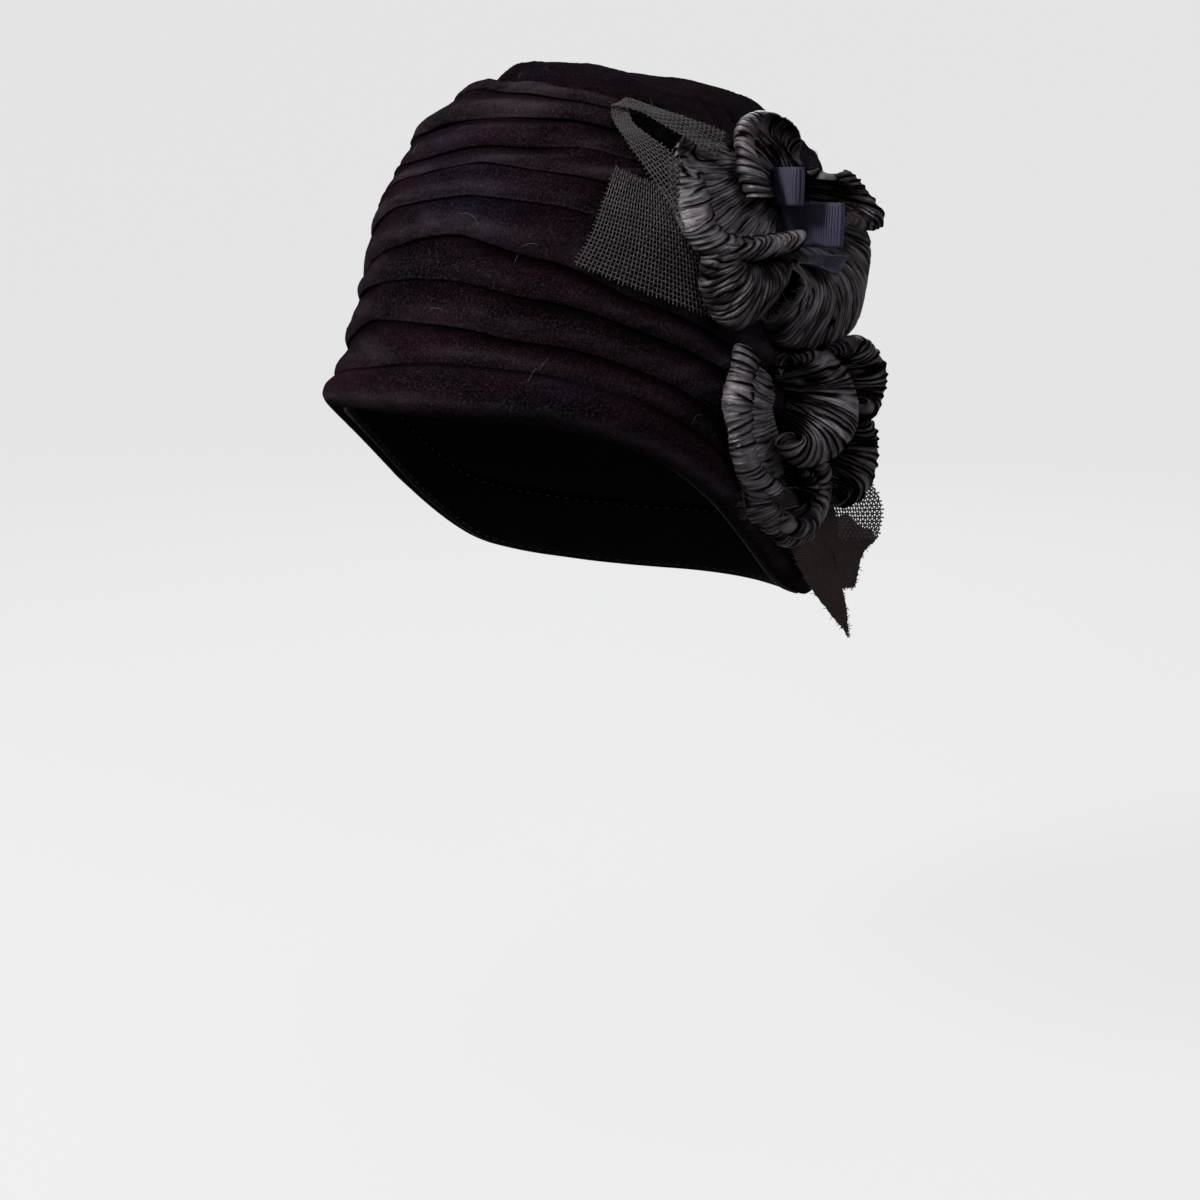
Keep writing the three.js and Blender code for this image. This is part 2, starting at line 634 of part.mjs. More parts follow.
// A cloth sheet of the given wall round a grid of middle points, grown by the clearance if
// fattened, so that what is cut by it keeps clear.
function sheetSolid(grid, wall, fattened) {
  const grow = fattened ? CLEARANCE : 0;
  const down = grid.length;
  const across = grid[0].length;
  const spread = grid.map((row) => row.map((point) => point.clone()));
  if (fattened) {
    const stretch = (edge, inside, set) => {
      const away = edge.clone().sub(inside).normalize().multiplyScalar(grow);
      set.add(away);
    };
    for (let i = 0; i < down; i += 1) {
      stretch(grid[i][0], grid[i][1], spread[i][0]);
      stretch(grid[i][across - 1], grid[i][across - 2], spread[i][across - 1]);
    }
    for (let j = 0; j < across; j += 1) {
      stretch(grid[0][j], grid[1][j], spread[0][j]);
      stretch(grid[down - 1][j], grid[down - 2][j], spread[down - 1][j]);
    }
  }
  const normalAt = (i, j) => {
    const a = grid[Math.min(i + 1, down - 1)][j].clone().sub(grid[Math.max(i - 1, 0)][j]);
    const b = grid[i][Math.min(j + 1, across - 1)].clone().sub(grid[i][Math.max(j - 1, 0)]);
    return a.cross(b).normalize();
  };
  const positions = [];
  [1, -1].forEach((side) => {
    for (let i = 0; i < down; i += 1) {
      for (let j = 0; j < across; j += 1) {
        const off = side * (wall / 2 + grow);
        positions.push(spread[i][j].clone().addScaledVector(normalAt(i, j), off));
      }
    }
  });
  const triangles = [];
  const half = down * across;
  const quad = (a, b, c, d) => triangles.push(a, b, c, a, c, d);
  for (let i = 0; i < down - 1; i += 1) {
    for (let j = 0; j < across - 1; j += 1) {
      const a = i * across + j;
      quad(a, a + across, a + across + 1, a + 1);
      quad(half + a, half + a + 1, half + a + across + 1, half + a + across);
    }
  }
  for (let j = 0; j < across - 1; j += 1) {
    const end = (down - 1) * across + j;
    quad(j, j + 1, half + j + 1, half + j);
    quad(end + 1, end, half + end, half + end + 1);
  }
  for (let i = 0; i < down - 1; i += 1) {
    const a = i * across;
    const b = a + across - 1;
    quad(a + across, a, half + a, half + a + across);
    quad(b, b + across, half + b + across, half + b);
  }
  return solidFrom(positions, triangles);
}

// A point of a rose, by shares across, up and level out from the crown.
function rosePoint(rose, [across, up, out]) {
  const height = rose.height + (up * rose.halfHeight) / CROWN_HEIGHT;
  const length = lengthAtHeight(height);
  const middle = basePoint(rose.azimuth, lengthAtHeight(rose.height));
  const radius = Math.hypot(middle.x, middle.y);
  const azimuth = rose.azimuth + THREE.MathUtils.radToDeg((across * rose.halfWidth) / radius);
  const level = baseNormal(azimuth, length).setZ(0).normalize();
  return basePoint(azimuth, length).addScaledVector(level, out * rose.standOff);
}

function roseNormal(rose, [across, up]) {
  return rosePoint(rose, [across, up, 1]).sub(rosePoint(rose, [across, up, 0])).normalize();
}

// Middle points of a petal: from its root to its lip, then round the curl.
function petalGrid(rose, petal, pleatDepth) {
  const rows = [];
  const steps = PETAL_STEPS;
  for (let j = 0; j <= steps; j += 1) {
    const place = j / steps;
    const root = rosePoint(rose, splinePoint(petal.root, place));
    const lip = rosePoint(rose, splinePoint(petal.lip, place));
    const curl = THREE.MathUtils.lerp(petal.curl[0], petal.curl[1], place);
    const turn = Math.PI * 2 * curl;
    const bulge = rose.curlRadius * Math.sin(Math.min(turn, Math.PI / 2));
    lip.addScaledVector(lip.clone().sub(root).normalize(), -bulge);
    const middle = splinePoint(petal.root, place).map(
      (value, axis) => (value + splinePoint(petal.lip, place)[axis]) / 2);
    const outward = roseNormal(rose, middle);
    const face = petal.forward ? -1 : 1;
    if (petal.forward) {
      lip.addScaledVector(outward, -2 * rose.curlRadius * Math.min(2 * curl, 1));
    }
    const ridge = ((j % 2) - 0.5) * pleatDepth;
    const column = [];
    [0, 0.33, 0.66, 1].forEach((along) => {
      const swell = petal.belly * rose.standOff * Math.sin(Math.PI * along ** 0.8);
      const point = root.clone().lerp(lip, along);
      column.push(point.addScaledVector(outward, swell + ridge));
    });
    const last = column[3];
    const forward = last.clone().sub(column[2]).normalize();
    const inward = outward.clone().addScaledVector(forward, -outward.dot(forward)).normalize();
    if (curl > 0) {
      for (let k = 1; k <= CURL_STEPS; k += 1) {
        const angle = (turn * k) / CURL_STEPS;
        const radius = rose.curlRadius * (1 - 0.25 * (k / CURL_STEPS));
        column.push(last.clone()
          .addScaledVector(forward, radius * Math.sin(angle))
          .addScaledVector(inward, -face * radius * (1 - Math.cos(angle))));
      }
    }
    rows.push(column);
  }
  return rows;
}

// Middle points of a ribbon loop: an oval out from its root and back, as wide as its strip.
function loopSolid(rose, loop, fattened) {
  const grow = fattened ? CLEARANCE : 0;
  const root = rosePoint(rose, loop.root);
  const tip = rosePoint(rose, loop.tip);
  const axis = new THREE.Vector3(0, 0, 1);
  const along = tip.clone().sub(root);
  const side = along.clone().cross(axis).normalize();
  const strip = side.clone().cross(along).normalize();
  const turns = 12;
  const outline = (off) => Array.from({ length: turns }, (_, turn) => {
    const angle = (Math.PI * 2 * turn) / turns;
    const reach = along.length() / 2 + off;
    return root.clone().add(tip).multiplyScalar(0.5)
      .addScaledVector(along.clone().normalize(), -reach * Math.cos(angle))
      .addScaledVector(side, (loop.opening / 2 + off) * Math.sin(angle));
  });
  const edge = loop.width / 2 + grow;
  const rows = [
    [outline(RIBBON_WALL / 2 + grow), edge],
    [outline(RIBBON_WALL / 2 + grow), -edge],
    [outline(-RIBBON_WALL / 2 - grow), -edge],
    [outline(-RIBBON_WALL / 2 - grow), edge],
  ].map(([points, shift]) => points.map((point) => point.addScaledVector(strip, shift)));
  return ringSolid(rows, true);
}

// Middle points of a piece of net from its rows of left and right edges.
function netGrid(net, place) {
  const [across, down] = net.cells;
  const grid = [];
  for (let i = 0; i <= down; i += 1) {
    const left = splinePoint(net.rows.map((row) => row.left), i / down);
    const right = splinePoint(net.rows.map((row) => row.right), i / down);
    grid.push(Array.from({ length: across + 1 }, (_, j) => {
      const f = j / across;
      return place(...left.map((value, axis) => THREE.MathUtils.lerp(value, right[axis], f)));
    }));
  }
  return grid;
}

// Net lying on the velvet, or lifted off it.
function onVelvet(azimuth, height, lift) {
  const length = lengthAtHeight(height);
  const rim = rimLength(azimuth);
  const share = (length - rim) / (TOP_LENGTH - rim);
  const off = outsideSwell(azimuth, share) + CLEARANCE + NET_WALL / 2 + lift * FOLD_SWELL;
  return crownPoint(azimuth, length, off);
}

// Net hanging free below the roses.
function hanging(azimuth, height, reach) {
  const angle = radians(azimuth);
  const depth = Math.cos(angle) > 0 ? FRONT_REACH : BACK_REACH;
  return new THREE.Vector3(
    HALF_WIDTH * reach * Math.sin(angle),
    -depth * reach * Math.cos(angle) - CROWN_LEAN,
    CROWN_HEIGHT * height - SEAT_HEIGHT,
  );
}

// The net's open spaces: one small block through the sheet for each cell.
function netHoles(net, place) {
  const [columns, rows] = net.cells;
  const edgesAt = (down) => [
    splinePoint(net.rows.map((row) => row.left), down),
    splinePoint(net.rows.map((row) => row.right), down),
  ];
  const holes = [];
  const spot = (down, across) => {
    const [left, right] = edgesAt(down);
    return place(...left.map((value, axis) => THREE.MathUtils.lerp(value, right[axis], across)));
  };
  for (let row = 0; row < rows; row += 1) {
    for (let column = 0; column < columns; column += 1) {
      const corner = (down, across) => spot(
        (row + 0.5 + (down * NET_HOLE) / 2) / rows, (column + 0.5 + (across * NET_HOLE) / 2) / columns);
      const corners = [corner(-1, -1), corner(-1, 1), corner(1, 1), corner(1, -1)];
      const through = corners[1].clone().sub(corners[0])
        .cross(corners[3].clone().sub(corners[0])).normalize();
      const deep = [-1, 1].flatMap((side) => corners.map(
        (point) => point.clone().addScaledVector(through, side * NET_WALL * 2)));
      holes.push(wasm.Manifold.hull(deep.map((point) => [point.x, point.y, point.z])));
    }
  }
  return wasm.Manifold.union(holes);
}

// The largest body of a solid that was cut.
function mainBody(solid) {
  const bodies = solid.decompose();
  return bodies.reduce((best, body) => (body.volume() > best.volume() ? body : best));
}

const keepOut = buildKeepOut();
const trimmings = new THREE.Group();
trimmings.name = 'spray';
const placed = [];

// Cuts a trimming clear of the velvet and of what is already placed, then places it.
function place(name, solid, fattened, material) {
  const clear = placed.reduce((body, other) => body.subtract(other), solid.subtract(keepOut));
  trimmings.add(meshFrom(name, mainBody(clear).simplify(FACET_TOLERANCE), material));
  placed.push(fattened);
}

function meshFrom(name, solid, material) {
  const { vertProperties, triVerts, numProp } = solid.getMesh();
  const geometry = new THREE.BufferGeometry();
  const positions = new Float32Array((vertProperties.length / numProp) * 3);
  for (let i = 0; i < positions.length / 3; i += 1) {
    positions.set(vertProperties.subarray(i * numProp, i * numProp + 3), i * 3);
  }
  geometry.setAttribute('position', new THREE.BufferAttribute(positions, 3));
  geometry.setIndex(new THREE.BufferAttribute(new Uint32Array(triVerts), 1));
  geometry.computeVertexNormals();
  const mesh = new THREE.Mesh(geometry, material);
  mesh.name = name;
  return mesh;
}

function placeNet(net, where) {
  const grid = netGrid(net, where);
  const sheet = sheetSolid(grid, NET_WALL, false).subtract(netHoles(net, where));
  place(net.name, sheet, sheetSolid(grid, NET_WALL, true), NET);
}

function placePetal(rose, petal, wall, pleatDepth, material) {
  const grid = petalGrid(rose, petal, pleatDepth);
  place(petal.name, sheetSolid(grid, wall, false), sheetSolid(grid, wall, true), material);
}

placeNet(NET_TAB, onVelvet);
placeNet(NET_LOOP, onVelvet);
[[UPPER_ROSE, UPPER_PETALS], [LOWER_ROSE, LOWER_PETALS]].forEach(([rose, petals]) => {
  petals.forEach((petal) => placePetal(rose, petal, PETAL_WALL, rose.pleatDepth, TAFFETA));
});
placeNet(NET_TAIL_POINT, hanging);
placeNet(NET_TAIL_SQUARE, hanging);
RIBBON_LOOPS.forEach((loop) => place(
  loop.name, loopSolid(UPPER_ROSE, loop, false), loopSolid(UPPER_ROSE, loop, true), GROSGRAIN));
placePetal(UPPER_ROSE, RIBBON_TAIL, RIBBON_WALL, 0, GROSGRAIN);

const crown = new THREE.Group();
crown.name = 'crown';
crown.add(meshFrom('crown_tip', buildCrownTip(), VELVET));
crown.add(meshFrom('side_drape', buildSideDrape(), VELVET));
crown.add(meshFrom('rim_roll', buildRimRoll(), VELVET));
crown.add(meshFrom('inner_band', buildInnerBand(), VELVET));

const hat = new THREE.Group();
hat.name = 'toque';
hat.add(crown);
hat.add(trimmings);

export default hat;
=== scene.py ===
"""Looks of a draped velvet toque with a spray of taffeta roses, open net and ribbon loops.

Sizes are in millimetres until a mesh is made. Meshes are in metres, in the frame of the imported
model: +Z up, the wearer's front towards -Y, the spray on +X, the origin inside the crown's top.
"""

import logging
import math
from collections.abc import Callable
from dataclasses import dataclass, field
from enum import Enum

import bpy
import numpy as np
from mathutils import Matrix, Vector


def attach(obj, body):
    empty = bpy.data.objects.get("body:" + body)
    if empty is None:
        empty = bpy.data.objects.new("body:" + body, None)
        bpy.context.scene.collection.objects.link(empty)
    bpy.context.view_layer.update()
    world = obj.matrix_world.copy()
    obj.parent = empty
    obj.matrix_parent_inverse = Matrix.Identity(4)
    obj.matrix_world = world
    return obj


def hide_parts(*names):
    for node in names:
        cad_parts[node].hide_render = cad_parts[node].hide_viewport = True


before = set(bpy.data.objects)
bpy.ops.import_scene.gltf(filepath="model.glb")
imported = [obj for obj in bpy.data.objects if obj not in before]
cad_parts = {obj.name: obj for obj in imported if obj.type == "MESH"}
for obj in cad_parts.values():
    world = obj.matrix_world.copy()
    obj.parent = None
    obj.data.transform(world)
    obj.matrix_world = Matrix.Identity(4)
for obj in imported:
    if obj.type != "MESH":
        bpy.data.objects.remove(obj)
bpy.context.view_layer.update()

LOG = logging.getLogger("toque")
MM = 0.001
Array = np.ndarray
Triple = tuple[float, float, float]
Colour = tuple[float, float, float, float]
EVEN = (1, 1, 1)
Material, Piece = bpy.types.Material, bpy.types.Object
Tree, Node, Socket = bpy.types.NodeTree, bpy.types.Node, bpy.types.NodeSocket


# Curves and noise.


def spline(values: Array, place: Array) -> Array:
    """Smooth curve through equally spaced values.

    Args:
        values: one value, or one row of values, per control point.
        place: places along the curve, from 0 to 1.

    Returns:
        The curve's values, one per place.
    """
    values = np.asarray(values, float)
    last = len(values) - 1
    scaled = np.clip(np.asarray(place, float), 0, 1) * last
    i = np.minimum(np.floor(scaled).astype(int), last - 1)
    f = scaled - i
    if values.ndim > 1:
        f = f[..., None]
    padded = np.concatenate([[2 * values[0] - values[1]], values, [2 * values[-1] - values[-2]]])
    p0, p1, p2, p3 = padded[i], padded[i + 1], padded[i + 2], padded[i + 3]
    curve = 2 * p1 + (p2 - p0) * f + (2 * p0 - 5 * p1 + 4 * p2 - p3) * f**2
    return 0.5 * (curve + (-p0 + 3 * p1 - 3 * p2 + p3) * f**3)


def unit(vectors: Array) -> Array:
    """Vectors brought to length one."""
    return vectors / np.maximum(np.linalg.norm(vectors, axis=-1, keepdims=True), 1e-9)


def ease(value: Array) -> Array:
    """Smooth step of a value held between 0 and 1."""
    held = np.clip(value, 0, 1)
    return held * held * (3 - 2 * held)


def run_length(points: Array) -> Array:
    """Length walked along a row of points, from nothing at the first one."""
    return np.concatenate([[0], np.cumsum(np.linalg.norm(np.diff(points, axis=0), axis=1))])


def bell(value: float, middle: float, width: float) -> float:
    """Smooth hump of height one round a middle value."""
    return math.exp(-(((value - middle) / width) ** 2))


def grid_normals(grid: Array) -> Array:
    """Unit normals of a grid of points, from the rows and columns beside each point."""
    return unit(np.cross(np.gradient(grid, axis=0), np.gradient(grid, axis=1)))


@dataclass(frozen=True)
class Lattice:
    """Seeded smooth noise from -1 to 1, which repeats after its columns and rows."""

    seed: int
    columns: int = 64
    rows: int = 64

    def at(self, x: Array, y: Array) -> Array:
        """Noise at places counted in cells.

        Args:
            x: places across the columns.
            y: places across the rows.

        Returns:
            Values from -1 to 1.
        """
        table = np.random.default_rng(self.seed).uniform(-1, 1, (self.rows, self.columns))
        i, j = np.floor(x).astype(int), np.floor(y).astype(int)
        fx, fy = ease(x - i), ease(y - j)
        i0, i1 = i % self.columns, (i + 1) % self.columns
        j0, j1 = j % self.rows, (j + 1) % self.rows
        low = table[j0, i0] * (1 - fx) + table[j0, i1] * fx
        high = table[j1, i0] * (1 - fx) + table[j1, i1] * fx
        return low * (1 - fy) + high * fy


def ring_noise(seed: int, cells: int, azimuth: Array) -> Array:
    """Noise from -1 to 1 round the crown, with so many cells in a whole turn."""
    return Lattice(seed, cells, 4).at(azimuth / 360 * cells, np.zeros_like(azimuth))


# Meshes.


@dataclass
class MeshDraft:
    """Vertices and faces of one closed piece of cloth, gathered in millimetres."""

    points: list[Array] = field(default_factory=list)
    tones: list[Array] = field(default_factory=list)
    quads: list[tuple[Array, Array, Array]] = field(default_factory=list)
    fans: list[tuple[Array, Array, Array]] = field(default_factory=list)
    count: int = 0

    def add_points(self, grid: Array, tone: Array | float = 0.0) -> Array:
        """Adds points and gives their numbers.

        Args:
            grid: points, with any leading shape.
            tone: how raised or sunk the cloth is at each point, for its finish, which paints light
                and shade from it.

        Returns:
            The points' numbers, in the grid's leading shape.
        """
        shape = grid.shape[:-1]
        size = int(np.prod(shape))
        self.points.append(grid.reshape(-1, 3))
        self.tones.append(np.broadcast_to(tone, shape).reshape(-1).astype(float))
        ids = np.arange(self.count, self.count + size).reshape(shape)
        self.count += size
        return ids

    def add_quads(self, ids: Array, uv: Array, kind: int = 0) -> None:
        """Adds the faces between neighbouring rows and columns of points.

        Args:
            ids: numbers of the points, rows by columns.
            uv: places on the cloth in millimetres, rows by columns.
            kind: which of the piece's finishes the faces take.
        """
        def corners(values: Array) -> Array:
            faces = [values[:-1, :-1], values[:-1, 1:], values[1:, 1:], values[1:, :-1]]
            return np.stack(faces, axis=2)
        faces = corners(ids).reshape(-1, 4)
        self.quads.append((faces, corners(uv).reshape(-1, 4, 2), np.full(len(faces), kind)))

    def add_fan(self, ring: Array, hub: int, uv: Array, hub_uv: Array, kind: int = 0) -> None:
        """Closes a ring of points with triangles to one middle point.

        Args:
            ring: numbers of the ring's points, the first one again at its end.
            hub: number of the middle point.
            uv: places of the ring's points on the cloth.
            hub_uv: place of the middle point on the cloth.
            kind: which of the piece's finishes the faces take.
        """
        count = len(ring) - 1
        faces = np.stack([ring[:-1], ring[1:], np.full(count, hub)], axis=1)
        places = np.stack([uv[:-1], uv[1:], np.broadcast_to(hub_uv, (count, 2))], axis=1)
        self.fans.append((faces, places, np.full(count, kind)))

    def add_cloth(self, grid: Array, uv: Array, wall: float, tone: Array | float = 0.0) -> None:
        """Adds a closed sheet of cloth round a grid of middle points.

        Args:
            grid: middle points, rows by columns.
            uv: places on the cloth in millimetres, rows by columns.
            wall: thickness of the cloth.
            tone: how raised or sunk the cloth is at each point, from which the finish paints light
                and shade.
        """
        normals = grid_normals(grid)
        front = self.add_points(grid + normals * wall / 2, tone)
        back = self.add_points(grid - normals * wall / 2, tone)
        self.add_quads(front, uv)
        self.add_quads(back[:, ::-1], uv[:, ::-1])
        self.add_quads(np.stack([back[0], front[0]]), uv[[0, 0]])
        self.add_quads(np.stack([front[-1], back[-1]]), uv[[-1, -1]])
        self.add_quads(np.stack([back[:, 0], front[:, 0]], axis=1), uv[:, [0, 0]])
        self.add_quads(np.stack([front[:, -1], back[:, -1]], axis=1), uv[:, [-1, -1]])

    def finish(self, name: str, finishes: list[Material]) -> Piece:
        """Makes the object, in metres and facing outwards.

        Args:
            name: the object's name.
            finishes: its materials, in the order of the faces' kinds.

        Returns:
            The new object, linked to the scene.
        """
        points = np.concatenate(self.points) * MM
        quads, quad_uvs, kinds = (np.concatenate(part) for part in zip(*self.quads))
        fans, fan_uvs = np.zeros((0, 3), int), np.zeros((0, 3, 2))
        if self.fans:
            fans, fan_uvs, fan_kinds = (np.concatenate(part) for part in zip(*self.fans))
            kinds = np.concatenate([kinds, fan_kinds])
        triangles = np.concatenate([quads[:, :3], quads[:, [0, 2, 3]], fans])
        a, b, c = (points[triangles[:, k]] for k in range(3))
        if float(np.einsum("ij,ij->", a, np.cross(b, c))) < 0:
            quads, quad_uvs = quads[:, ::-1], quad_uvs[:, ::-1]
            fans, fan_uvs = fans[:, ::-1], fan_uvs[:, ::-1]
        mesh = bpy.data.meshes.new(name)
        mesh.vertices.add(len(points))
        mesh.vertices.foreach_set("co", points.ravel())
        loops = np.concatenate([quads.ravel(), fans.ravel()])
        mesh.loops.add(len(loops))
        mesh.loops.foreach_set("vertex_index", loops)
        sizes = np.concatenate([np.full(len(quads), 4), np.full(len(fans), 3)])
        mesh.polygons.add(len(sizes))
        mesh.polygons.foreach_set("loop_start", np.cumsum(sizes) - sizes)
        for finish in finishes:
            mesh.materials.append(finish)
        mesh.polygons.foreach_set("material_index", kinds)
        mesh.polygons.foreach_set("use_smooth", np.ones(len(sizes), bool))
        cloth = mesh.uv_layers.new(name="cloth")
        places = np.concatenate([quad_uvs.reshape(-1, 2), fan_uvs.reshape(-1, 2)]) * MM
        cloth.uv.foreach_set("vector", places.ravel())
        mesh.attributes.new("tone", "FLOAT", "POINT").data.foreach_set(
            "value", np.concatenate(self.tones))
        mesh.update(calc_edges=True)
        mesh.validate()
        return link(name, mesh)


def link(name: str, data: bpy.types.ID) -> Piece:
    """Puts a mesh, a camera or a light into the scene as an object at the origin."""
    item = bpy.data.objects.new(name, data)
    bpy.context.scene.collection.objects.link(item)
    return item


def declare(piece: Piece, node: str | None = None) -> Piece:
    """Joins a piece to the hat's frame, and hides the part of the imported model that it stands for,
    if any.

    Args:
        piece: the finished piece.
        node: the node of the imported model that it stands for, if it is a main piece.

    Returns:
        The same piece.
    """
    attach(piece, "root")
    if node is not None:
        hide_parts(node)
    return piece


def report(piece: Piece) -> None:
    """Logs a finished piece: its faces and half its surface, which is its cloth's area."""
    areas = np.zeros(len(piece.data.polygons))
    piece.data.polygons.foreach_get("area", areas)
    one_side = areas.sum() / 2 * 1e4
    LOG.info("%s: %d faces, %.2f square centimetres", piece.name, len(areas), one_side)


# Node trees.


@dataclass
class Bench:
    """Adds and joins the nodes of one tree."""

    tree: Tree

    def add(self, kind: str, inputs: dict | None = None, **settings: object) -> Node:
        """Adds a node.

        Args:
            kind: the node's type.
            inputs: values or output sockets for its inputs, by name or by number.
            settings: the node's own settings.

        Returns:
            The new node.
        """
        node = self.tree.nodes.new(kind)
        for key, value in settings.items():
            setattr(node, key, value)
        self.fill(node, inputs or {})
        return node

    def feed(self, socket: Socket, value: object) -> None:
        """Links an output to an input, or sets the input's own value."""
        if isinstance(value, Socket):
            self.tree.links.new(value, socket)
        else:
            socket.default_value = value

    def fill(self, node: Node, inputs: dict) -> None:
        """Feeds a node's inputs, by name or by number."""
        for key, value in inputs.items():
            self.feed(node.inputs[key], value)

    def math(self, operation: str, *values: object) -> Socket:
        """Output of a Math node over the given values or sockets."""
        return self.add("ShaderNodeMath", dict(enumerate(values)), operation=operation).outputs[0]

    def times(self, first: object, second: object) -> Socket:
        """Product of two values or sockets."""
        return self.math("MULTIPLY", first, second)

    def plus(self, first: object, second: object) -> Socket:
        """Sum of two values or sockets."""
        return self.math("ADD", first, second)

    def mix(self, share: object, first: object, second: object) -> Socket:
        """Colour between two colours, by a share from 0 to 1."""
        first_colour, second_colour, mixed_colour = 6, 7, 2
        node = self.add("ShaderNodeMix", {
            "Factor": share, first_colour: first, second_colour: second}, data_type="RGBA")
        return node.outputs[mixed_colour]

    def remap(self, value: object, low: float, high: float, to: tuple[float, float]) -> object:
        """Output of a Map Range node that brings low..high to the given range."""
        return self.add("ShaderNodeMapRange", {
            "Value": value, "From Min": low, "From Max": high, "To Min": to[0], "To Max": to[1],
        }).outputs[0]

    def spread(self, value: object, low: float, high: float) -> object:
        """A value from 0 to 1, brought to low..high."""
        return self.remap(value, 0.0, 1.0, (low, high))


def open_tree(kind: str, name: str, inputs: dict[str, str], outputs: dict[str, str]) -> tuple:
    """Starts a node group.

    Args:
        kind: the tree's type.
        name: the group's name.
        inputs: socket kinds by name, such as Float, for what goes in.
        outputs: socket kinds by name, for what comes out.

    Returns:
        The tree, its bench and its two end nodes.
    """
    tree = bpy.data.node_groups.new(name, kind)
    for way, sockets in (("INPUT", inputs), ("OUTPUT", outputs)):
        for label, socket in sockets.items():
            tree.interface.new_socket(label, in_out=way, socket_type=f"NodeSocket{socket}")
    bench = Bench(tree)
    return tree, bench, bench.add("NodeGroupInput"), bench.add("NodeGroupOutput")


class ShaderGroups:
    """Effects that more than one finish uses, each built once."""

    def __init__(self) -> None:
        """Builds the groups."""
        self.mottle = self._mottle()
        self.weave = self._weave()
        self.fibres = self._fibres()

    @staticmethod
    def _mottle() -> Tree:
        """Uneven tone of cloth: broad patches broken by smaller ones."""
        tree, bench, start, end = open_tree(
            "ShaderNodeTree", "cloth mottle", {"Vector": "Vector", "Scale": "Float"},
            {"Tone": "Float"})
        broad = bench.add("ShaderNodeTexNoise", {
            "Vector": start.outputs["Vector"], "Scale": start.outputs["Scale"],
            "Detail": 3.0, "Roughness": 0.55, "Distortion": 0.4})
        finer = bench.add("ShaderNodeTexNoise", {
            "Vector": start.outputs["Vector"], "Detail": 2.0,
            "Scale": bench.times(start.outputs["Scale"], 4.3)})
        both = bench.plus(
            bench.times(broad.outputs["Fac"], 0.72), bench.times(finer.outputs["Fac"], 0.28))
        bench.feed(end.inputs["Tone"], bench.remap(both, 0.34, 0.66, (0.0, 1.0)))
        return tree

    @staticmethod
    def _weave() -> Tree:
        """Plain weave: threads one way and the other, over and under by turns."""
        tree, bench, start, end = open_tree(
            "ShaderNodeTree", "plain weave",
            {"Vector": "Vector", "Across": "Float", "Along": "Float"}, {"Height": "Float"})
        parts = bench.add("ShaderNodeSeparateXYZ", {0: start.outputs["Vector"]})
        x = bench.math("DIVIDE", parts.outputs["X"], start.outputs["Across"])
        y = bench.math("DIVIDE", parts.outputs["Y"], start.outputs["Along"])
        over = bench.math(
            "FLOORED_MODULO", bench.plus(bench.math("FLOOR", x), bench.math("FLOOR", y)), 2.0)
        warp, weft = (
            bench.math("ABSOLUTE", bench.math("SINE", bench.times(run, math.pi))) for run in (x, y))
        under = bench.math("SUBTRACT", 1.0, over)
        height = bench.plus(bench.times(warp, over), bench.times(weft, under))
        bench.feed(end.inputs["Height"], height)
        return tree

    @staticmethod
    def _fibres() -> Tree:
        """Fine hairs of a yarn or a pile, drawn out along one direction by the mapping."""
        tree, bench, start, end = open_tree(
            "ShaderNodeTree", "cloth fibres", {"Vector": "Vector", "Scale": "Float"},
            {"Height": "Float"})
        fine = bench.add("ShaderNodeTexNoise", {
            "Vector": start.outputs["Vector"], "Scale": start.outputs["Scale"],
            "Detail": 4.0, "Roughness": 0.7})
        bench.feed(end.inputs["Height"], bench.remap(fine.outputs["Fac"], 0.25, 0.75, (0.0, 1.0)))
        return tree


def new_material(name: str, looks: Callable[[Bench], dict]) -> Material:
    """Makes a material.

    Args:
        name: the material's name.
        looks: adds its nodes at a bench and returns its shader's inputs.

    Returns:
        The material.
    """
    material = bpy.data.materials.new(name)
    material.use_nodes = True
    bench = Bench(material.node_tree)
    bench.fill(material.node_tree.nodes["Principled BSDF"], looks(bench))
    return material


